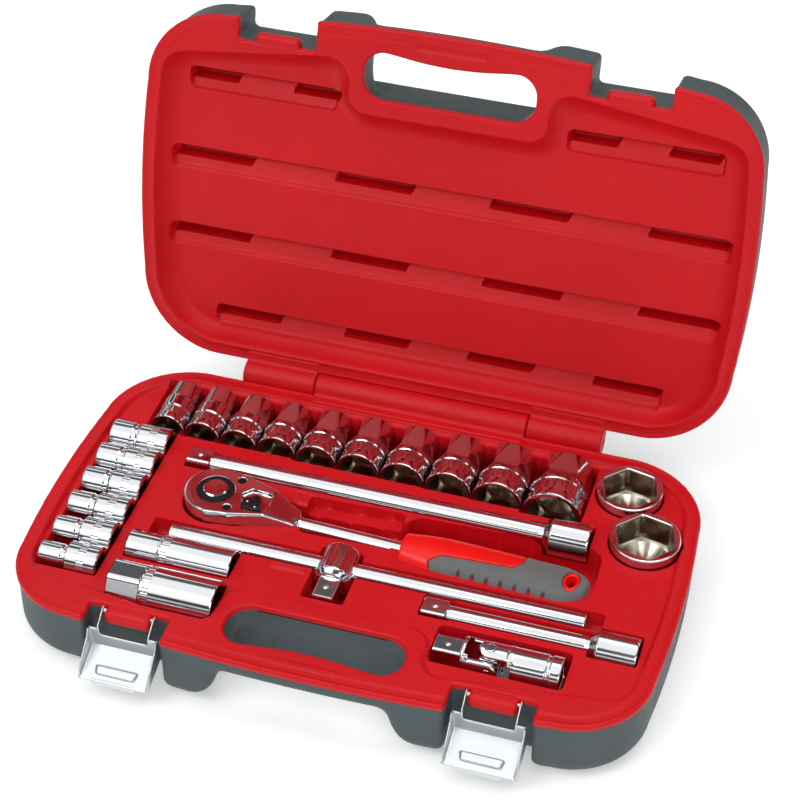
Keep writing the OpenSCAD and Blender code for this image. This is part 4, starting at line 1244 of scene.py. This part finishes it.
# ---------------------------------------------------------------- bars
@dataclass
class Extension:
    """Extension bar: square end with its ball, long shaft, socket end."""

    node: str
    x: float
    y: float
    length: float
    z: float
    shaft: float = 13.0
    boss: float = 22.5

    def build(self) -> None:
        """Builds the bar with stations along it."""
        l, n = self.length, 96
        sq = np.minimum(sides(4, 6.35, n, 45), 8.3)
        s, b = np.full(n, self.shaft / 2), np.full(n, self.boss / 2)
        hole = sides(4, 6.45, n, 45, 0.05)
        st = [
            (0.0, sq * 0.02), (0.0, sq - 1.0), (0.9, sq), (14.6, sq),
            (15.6, np.maximum(s - 0.6, np.minimum(sq, s))), (16.8, s), (l * 0.5, s), (l - 30, s),
            (l - 27.5, s + 0.2), (l - 25.4, s * 0.55 + b * 0.45), (l - 23.6, b - 0.5), (l - 22.8, b),
            (l - 1, b), (l - 0.25, b - 0.35), (l, b - 1.0), (l - 0.1, hole + 1.0), (l - 1.2, hole),
            (l - 16, hole), (l - 16.2, hole * 0.02)]
        v, q = MeshMaker.rings(MeshMaker.braced(st), n)
        v = orient(v, (self.x, self.y, self.z), "+x")
        ob = MeshMaker.put(f"{self.node}_bar", v, [q], 34)
        place(ob, "chrome", self.node)


@dataclass
class SlidingHandle:
    """Sliding T handle: plain bar through a head with a square end."""

    length: float = 250.0
    x: float = -110.0
    y: float = -146.4
    z: float = -7.0
    head_x: float = -7.0

    def build(self) -> None:
        """Builds bar and head."""
        n = 64
        r = np.full(n, 6.2)
        end = [(0.0, r * 0.02), (0.0, r - 1.0), (0.3, r - 0.4), (1.0, r)]
        st = end + [(self.length - z, q) for z, q in reversed(end)]
        v, q = MeshMaker.rings(MeshMaker.braced(st), n)
        v = orient(v, (self.x, self.y, self.z), "+x")
        place(MeshMaker.put("tbar_bar_polished", v, [q], 40), "chrome", "tbar_bar")

        def head(x: Array, y: Array, z: Array) -> Array:
            """Barrel along Y, waisted to the square end, cross bored for the bar."""
            barrel = rod(x, z, y, 12.0, -24.6, 0, 1.6)
            taper = smax(barrel, np.hypot(x, z) - 12 + np.maximum(-y - 21, 0) * 0.8, 0.8)
            square = block((x, z, y), (-6.35, -6.35, -40.3), (6.35, 6.35, -20), 0.5)
            square = smax(square, np.hypot(x, z) - 8.3, 0.5)
            square = smax(square, np.abs(x) + np.abs(z) - 12.6 + np.maximum(-y - 39.3, 0), 0.3)
            d = smin(taper, square, 0.8)
            return smax(d, -(np.hypot(y + 11.5, z) - 6.32), 0.7)
        v, q = MeshMaker.net(head, (-13.4, -42, -13.4), (13.4, 1.6, 13.4), 0.55)
        v = v + np.array([self.head_x, self.y + 11.5, self.z]) + HINGE
        place(MeshMaker.put("tbar_head_body", v, [q], 40), "chrome", "tbar_head")


@dataclass
class UniversalJoint:
    """Universal joint: two forks on a cross."""

    x: float = 63.5
    y: float = -188.0
    z: float = -8.0
    mid: float = 32.0
    length: float = 73.0
    swing: float = 13.2

    def fork(self, sign: int, x: Array, a: Array, b: Array, end: float) -> Array:
        """Distance to a fork whose round body ends at end and whose pin runs along a."""
        reach = (x - self.mid) * sign
        body = smax(rod(a, b, reach, 11.0, self.swing - 2.4, end, 0.9), -(reach - self.swing + 2.4), 0.6)
        eye = np.hypot(reach, b) - 6.2
        leg = np.maximum(np.abs(b) - 6.2, np.abs(reach - self.swing / 2) - self.swing / 2)
        arms = smax(smax(np.minimum(eye, leg), np.hypot(a, b) - 11.0, 0.8), np.abs(reach - 5) - 12, 0.5)
        d = smin(body, arms, 1.2)
        gap = np.maximum(np.abs(a) - 6.5, reach - self.swing)
        d = smax(d, -gap, 0.8)
        return smax(d, -(np.hypot(reach, b) - 3.1), 0.4)

    def drive(self, x: Array, y: Array, z: Array) -> Array:
        """The fork with the square end, at negative reach."""
        d = self.fork(-1, x, y, z, 15.5)
        square = smax(block((x, y, z), (0.0, -6.35, -6.35), (18, 6.35, 6.35), 0.5), np.hypot(y, z) - 8.3, 0.5)
        return smin(d, square, 0.8)

    def socket(self, x: Array, y: Array, z: Array) -> Array:
        """The fork with the square hole."""
        d = self.fork(1, x, z, y, self.length - self.mid)
        d = smax(d, np.minimum(np.hypot(y, z) - 10.4, 0.9 - np.abs(x - self.length + 7.5)), 0.5)
        return smax(d, -block((x, y, z), (57, -6.45, -6.45), (80, 6.45, 6.45), 0.4), 0.7)

    def cross(self, x: Array, y: Array, z: Array) -> Array:
        """The cross: a cube with two pins."""
        x = x - self.mid
        d = block((x, y, z), (-5.5, -5.5, -5.5), (5.5, 5.5, 5.5), 1.0)
        return smin(smin(d, rod(x, z, y, 3.0, -10.6, 10.6), 0.4), rod(x, y, z, 3.0, -10.6, 10.6), 0.4)

    def build(self) -> None:
        """Builds the three parts."""
        at = np.array([self.x, self.y, self.z]) + HINGE
        for node, solid, a, b in (
                ("ujoint_drive_fork", self.drive, -1.0, 40.0),
                ("ujoint_socket_fork", self.socket, 24.0, 74.2),
                ("ujoint_cross", self.cross, 20.0, 44.0)):
            v, q = MeshMaker.net(solid, (a, -12.2, -12.2), (b, 12.2, 12.2), 0.5)
            place(MeshMaker.put(f"{node}_body", v + at, [q], 40), "chrome", node)


# ---------------------------------------------------------------- ratchet
@dataclass
class Ratchet:
    """Reversible ratchet: forged head and shank, two-colour handle."""

    top: float = 6.0
    bottom: float = -13.0
    axis: float = -7.2
    core_x: float = 117.0
    core_end: float = 229.0
    lever_x: float = 25.5
    eyelet_in: float = 10.5
    zone: tuple = ((143, -30), (136, -10), (142, -5.5), (184, -2), (189, 4), (188, 30), (250, 30), (250, -30))

    def settle(self, v: Array) -> Array:
        """Moves the ratchet's own coordinates to the frame."""
        c, s = math.cos(math.radians(-TRAY.ratchet_turn)), math.sin(math.radians(-TRAY.ratchet_turn))
        at_x, at_y = TRAY.ratchet_at
        x, y, z = v.T
        return np.stack([x * c - y * s + at_x, x * s + y * c + at_y, z], 1) + HINGE

    def body(self, x: Array, y: Array, z: Array) -> Array:
        """Round head drawn out into a tapering neck and a round shank."""
        top, bot = self.top, self.bottom
        head = np.hypot(x, y) - 19.0
        wedge = polygon(x, y, mirrored([(0, 18.9), (14, 17.6), (33, 12), (47, 7.6), (52, 6.6)]))
        plan = smin(head, wedge, 2.0)
        slope = z - top + np.maximum(x - 34, 0) * 0.42
        under = bot + 0.9 - z + np.maximum(x - 30, 0) * 0.12
        d = smax(smax(plan, slope, 1.1), under, 1.4)
        shank = rod(y, z - self.axis, x, 5.4, 36, 131.5, 1.0)
        d = smin(d, shank, 2.2)
        d = smax(d, -rod(x, y, z, 15.2, bot - 4, bot + 15, 0.4), 0.6)
        d = smax(d, -(np.hypot(x, y) - 11.3), 0.4)
        recess = polygon(x, y, [(16.2, 1.5), (21, 7.4), (33.5, 6.6), (35, -2), (32.4, -10), (20.5, -10.6)])
        d = smax(d, -np.maximum(recess, top - 1.7 - z), 0.5)
        d = smax(d, -(np.hypot(x - self.lever_x, y) - 2.7), 0.3)
        screws = np.maximum(np.hypot(x - 12, np.abs(y) - 12.3) - 2.65, top - 1.4 - z)
        return smax(d, -screws, 0.4)

    def lever(self, x: Array, y: Array, z: Array) -> Array:
        """Reversing lever: a black thumb piece thrown to one side, a hub and its stem."""
        plan = polygon(x, y, [(18.6, -2.4), (24.6, 0.8), (31.0, -7.2), (27.4, -9.6), (20.4, -8.6)]) - 0.5
        thumb = smax(plan, np.abs(z - self.top + 0.4) - 1.2, 0.6)
        hub = rod(x - self.lever_x, y, z, 3.2, self.top - 1.6, self.top + 0.3, 0.5)
        stem = rod(x - self.lever_x, y, z, 2.6, self.bottom + 1.5, self.top - 1.2, 0.3)
        return smin(smin(thumb, hub, 0.5), stem, 0.3)

    def pins(self, x: Array, y: Array, z: Array) -> Array:
        """Two bright rivet heads on the lever."""
        a = np.sqrt((x - 21.9) ** 2 + (y + 4.2) ** 2 + (z - self.top - 0.5) ** 2) - 0.95
        b = np.sqrt((x - 27.8) ** 2 + (y + 7.4) ** 2 + (z - self.top - 0.5) ** 2) - 0.95
        return np.minimum(a, b)

    def handle(self, x: Array, y: Array, z: Array) -> Array:
        """Flattened handle: half width and half height follow smooth curves along X."""
        t = np.clip((x - self.core_x) / (self.core_end - 3 - self.core_x), 0, 1)
        w = 11.2 + 3.8 * np.sin(np.clip(t / 0.28, 0, 1) * math.pi / 2)
        h = 9.6 + 1.3 * np.sin(np.clip(t / 0.3, 0, 1) * math.pi / 2) - 0.5 * ease((t - 0.4) / 0.5)
        far = np.maximum(x - (self.core_end - 20), 0) / 20
        w = w * np.sqrt(np.maximum(1 - far ** 2 * 0.93, 0.001))
        q = (np.abs(y / w) ** 2.3 + np.abs((z - self.axis) / h) ** 2.3) ** (1 / 2.3)
        d = (q - 1) * np.minimum(w, h)
        d = smax(d, x - self.core_end, 2.0)
        d = smax(d, self.core_x - x, 1.6)
        return smax(d, -(np.hypot(y, z - self.axis) - 5.5 + np.maximum(x - 131, 0)), 0.5)

    def core(self, x: Array, y: Array, z: Array) -> Array:
        """Hard red part of the handle."""
        return smax(self.handle(x, y, z), -(polygon(x, y, self.zone) - 0.12), 0.8)

    def grip(self, x: Array, y: Array, z: Array) -> Array:
        """Soft part of the handle with its notches and the eyelet's hole."""
        d = smax(self.handle(x, y, z) + 0.1, polygon(x, y, self.zone) + 0.12, 0.9)
        for i in range(7):
            groove = np.hypot(x - 155 - i * 8.4, (y + 15.0) * 0.3) - 1.15
            d = smax(d, -np.maximum(groove, np.abs(z + 4.5) - 4.6), 0.6)
        return smax(d, -(np.hypot(x - self.core_end + self.eyelet_in, y * 0.66) - 5.1), 0.6)

    def eyelet(self, x: Array, y: Array, z: Array) -> Array:
        """Flanged ring through the handle's end."""
        r = np.hypot(x - self.core_end + self.eyelet_in, y * 0.66)
        top = np.abs(z - self.axis) - 9.4 + 0.012 * y * y
        d = smax(r - 4.9, top, 1.2)
        return smax(d, -(r - 3.1), 1.0)

    def build(self) -> None:
        """Builds the parts; the small ones keep their exact shape and get finishes."""
        for node, solid, lo, hi, step, fin in (
                ("ratchet_body", self.body, (-20.5, -20.5, -14.5), (133, 20.5, 7.5), 0.62, "chrome"),
                ("ratchet_core", self.core, (114.5, -17.5, -20), (231, 17.5, 6.5), 0.75, "orange"),
                ("ratchet_grip", self.grip, (133, -17.5, -20), (231, 17.5, 6.5), 0.7, "rubber"),
                ("ratchet_eyelet", self.eyelet, (212, -9, -18.5), (225, 9, 4), 0.4, "orange")):
            v, q = MeshMaker.net(solid, lo, hi, step)
            place(MeshMaker.put(f"{node}_shape", self.settle(v), [q], 44), fin, node)
        for name, solid, lo, hi, fin in (
                ("lever_shape", self.lever, (16.5, -11.5, -12.5), (32.5, 4.5, 7.4), "black"),
                ("lever_pins", self.pins, (20, -9.5, 4.5), (30, -2.5, 8), "chrome")):
            v, q = MeshMaker.net(solid, lo, hi, 0.35)
            place(MeshMaker.put(f"ratchet_{name}", self.settle(v), [q], 44), fin, "ratchet_lever")
        for node, fin in (
                ("ratchet_cover_ring", "black"), ("ratchet_screws", "black"), ("ratchet_drive", "chrome"),
                ("ratchet_button", "chrome"), ("ratchet_pawl", "steel")):
            PALETTE.dress(frame["nodes"][node], fin)


# ---------------------------------------------------------------- room
@dataclass
class Studio:
    """Pale floor, soft lamps and the camera."""

    yaw: float = 0.293
    pitch: float = 0.700
    roll: float = 0.006
    dist: float = 1280.816
    lens: float = 98.34183
    sensor: float = 36.0
    target: tuple[float, float, float] = (3.96, -60.0, 54.568)

    def floor(self) -> None:
        """A wide pale floor under the case."""
        t = Tree("pale_floor")
        t.set("Base Color", t.ramp(t.noise(3, 2), 0.3, 0.7, (0.93, 0.93, 0.93), (0.95, 0.95, 0.95)))
        t.set("Roughness", 0.6)
        t.set("Emission Color", (1, 1, 1, 1))
        t.set("Emission Strength", 0.3)
        w, z = 4000.0, -0.6
        v = np.array([[-w, -w, z], [w, -w, z], [w, w, z], [-w, w, z]])
        ob = MeshMaker.put("floor", v, [np.array([[0, 1, 2, 3]])])
        ob.data.materials.append(t.mat)

    def lamp(self, name: str, at: Sequence[float], aim: Sequence[float], size: tuple[float, float],
             watts: float) -> None:
        """A rectangular soft lamp.

        Args:
            name: lamp name.
            at: place in metres.
            aim: point it faces.
            size: width and height in metres.
            watts: strength.
        """
        data = bpy.data.lights.new(name, "AREA")
        data.shape = "RECTANGLE"
        data.size, data.size_y, data.energy = size[0], size[1], watts
        ob = bpy.data.objects.new(name, data)
        bpy.context.scene.collection.objects.link(ob)
        ob.location = at
        ob.rotation_mode = "QUATERNION"
        ob.rotation_quaternion = (Vector(at) - Vector(aim)).to_track_quat("Z", "Y")

    def world(self) -> None:
        """Even grey-white surroundings, brighter above than at the horizon."""
        w = bpy.data.worlds.new("studio")
        bpy.context.scene.world = w
        w.use_nodes = True
        nt = w.node_tree
        bg = nt.nodes["Background"]
        tc = nt.nodes.new("ShaderNodeTexCoord")
        sep = nt.nodes.new("ShaderNodeSeparateXYZ")
        ramp = nt.nodes.new("ShaderNodeValToRGB")
        nt.links.new(tc.outputs["Generated"], sep.inputs[0])
        nt.links.new(sep.outputs[2], ramp.inputs[0])
        nt.links.new(ramp.outputs[0], bg.inputs[0])
        e = ramp.color_ramp.elements
        e[0].position, e[0].color = 0.0, (0.22, 0.22, 0.23, 1)
        e[1].position, e[1].color = 1.0, (1, 1, 1, 1)
        for at, g in (
                (0.1, 0.05), (0.16, 0.05), (0.2, 0.6), (0.28, 0.6), (0.32, 0.05), (0.5, 0.05),
                (0.53, 1.0), (0.64, 1.0), (0.67, 0.1), (0.84, 0.1), (0.87, 1.0)):
            ramp.color_ramp.elements.new(at).color = (g, g * 1.01, g * 1.02, 1)
        bg.inputs[1].default_value = 1.35

    def camera(self) -> None:
        """Camera on a tilted sight line through the target, given by yaw, pitch, roll and distance."""
        cy, sy, cp, sp = math.cos(self.yaw), math.sin(self.yaw), math.cos(self.pitch), math.sin(self.pitch)
        back = Vector((sy * cp, -cy * cp, sp))
        right0 = Vector((cy, sy, 0))
        up0 = back.cross(right0)
        right = right0 * math.cos(self.roll) + up0 * math.sin(self.roll)
        up = up0 * math.cos(self.roll) - right0 * math.sin(self.roll)
        at = Vector(np.array(self.target) + HINGE) + back * self.dist
        data = bpy.data.cameras.new("camera")
        data.sensor_width, data.lens = self.sensor, self.lens
        data.clip_start, data.clip_end = 0.05, 50
        ob = bpy.data.objects.new("camera", data)
        bpy.context.scene.collection.objects.link(ob)
        m = Matrix((right, up, back)).transposed().to_4x4()
        m.translation = at * 0.001
        ob.matrix_world = m
        bpy.context.scene.camera = ob

    def build(self) -> None:
        """Sets up floor, light and camera."""
        self.floor()
        self.world()
        self.lamp("key", (-0.9, -1.2, 1.9), (0, 0, 0.05), (1.3, 0.9), 15)
        self.lamp("front", (0.9, -1.7, 1.3), (0, 0, 0.1), (1.0, 0.8), 8)
        self.lamp("top", (0.3, 0.4, 2.2), (0, 0, 0.05), (1.4, 0.5), 5)
        self.camera()
        bpy.context.scene.view_settings.view_transform = "Standard"


@dataclass
class CaseParts:
    """The two halves of the case with hinge and latches."""

    def build(self) -> None:
        """Builds liners, shells, trim and latches."""
        BaseLiner().build()
        LidLiner().build()
        CaseShell(Half.BASE, BASE_H).build()
        CaseShell(Half.LID, LID_H).build()
        for h in Half:
            Trim(h).build()
        for s in (-1, 1):
            Latch(s).build()
        PALETTE.dress(frame["nodes"]["hinge_pin"], "steel")


def main() -> None:
    """Builds every class in order."""
    logging.basicConfig(level=logging.INFO, format="%(name)s %(message)s")
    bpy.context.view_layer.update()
    CaseParts().build()
    SmallSockets().build()
    RowSockets().build()
    UprightSockets().build()
    SparkSockets().build()
    for bar in TRAY.bars:
        Extension(*bar).build()
    SlidingHandle().build()
    UniversalJoint().build()
    Ratchet().build()
    for n in ("ball_long", "ball_short", "ball_tbar", "ball_ujoint", "ratchet_ball"):
        PALETTE.dress(frame["nodes"][n], "chrome")
    Studio().build()


if __name__ == "__main__":
    main()
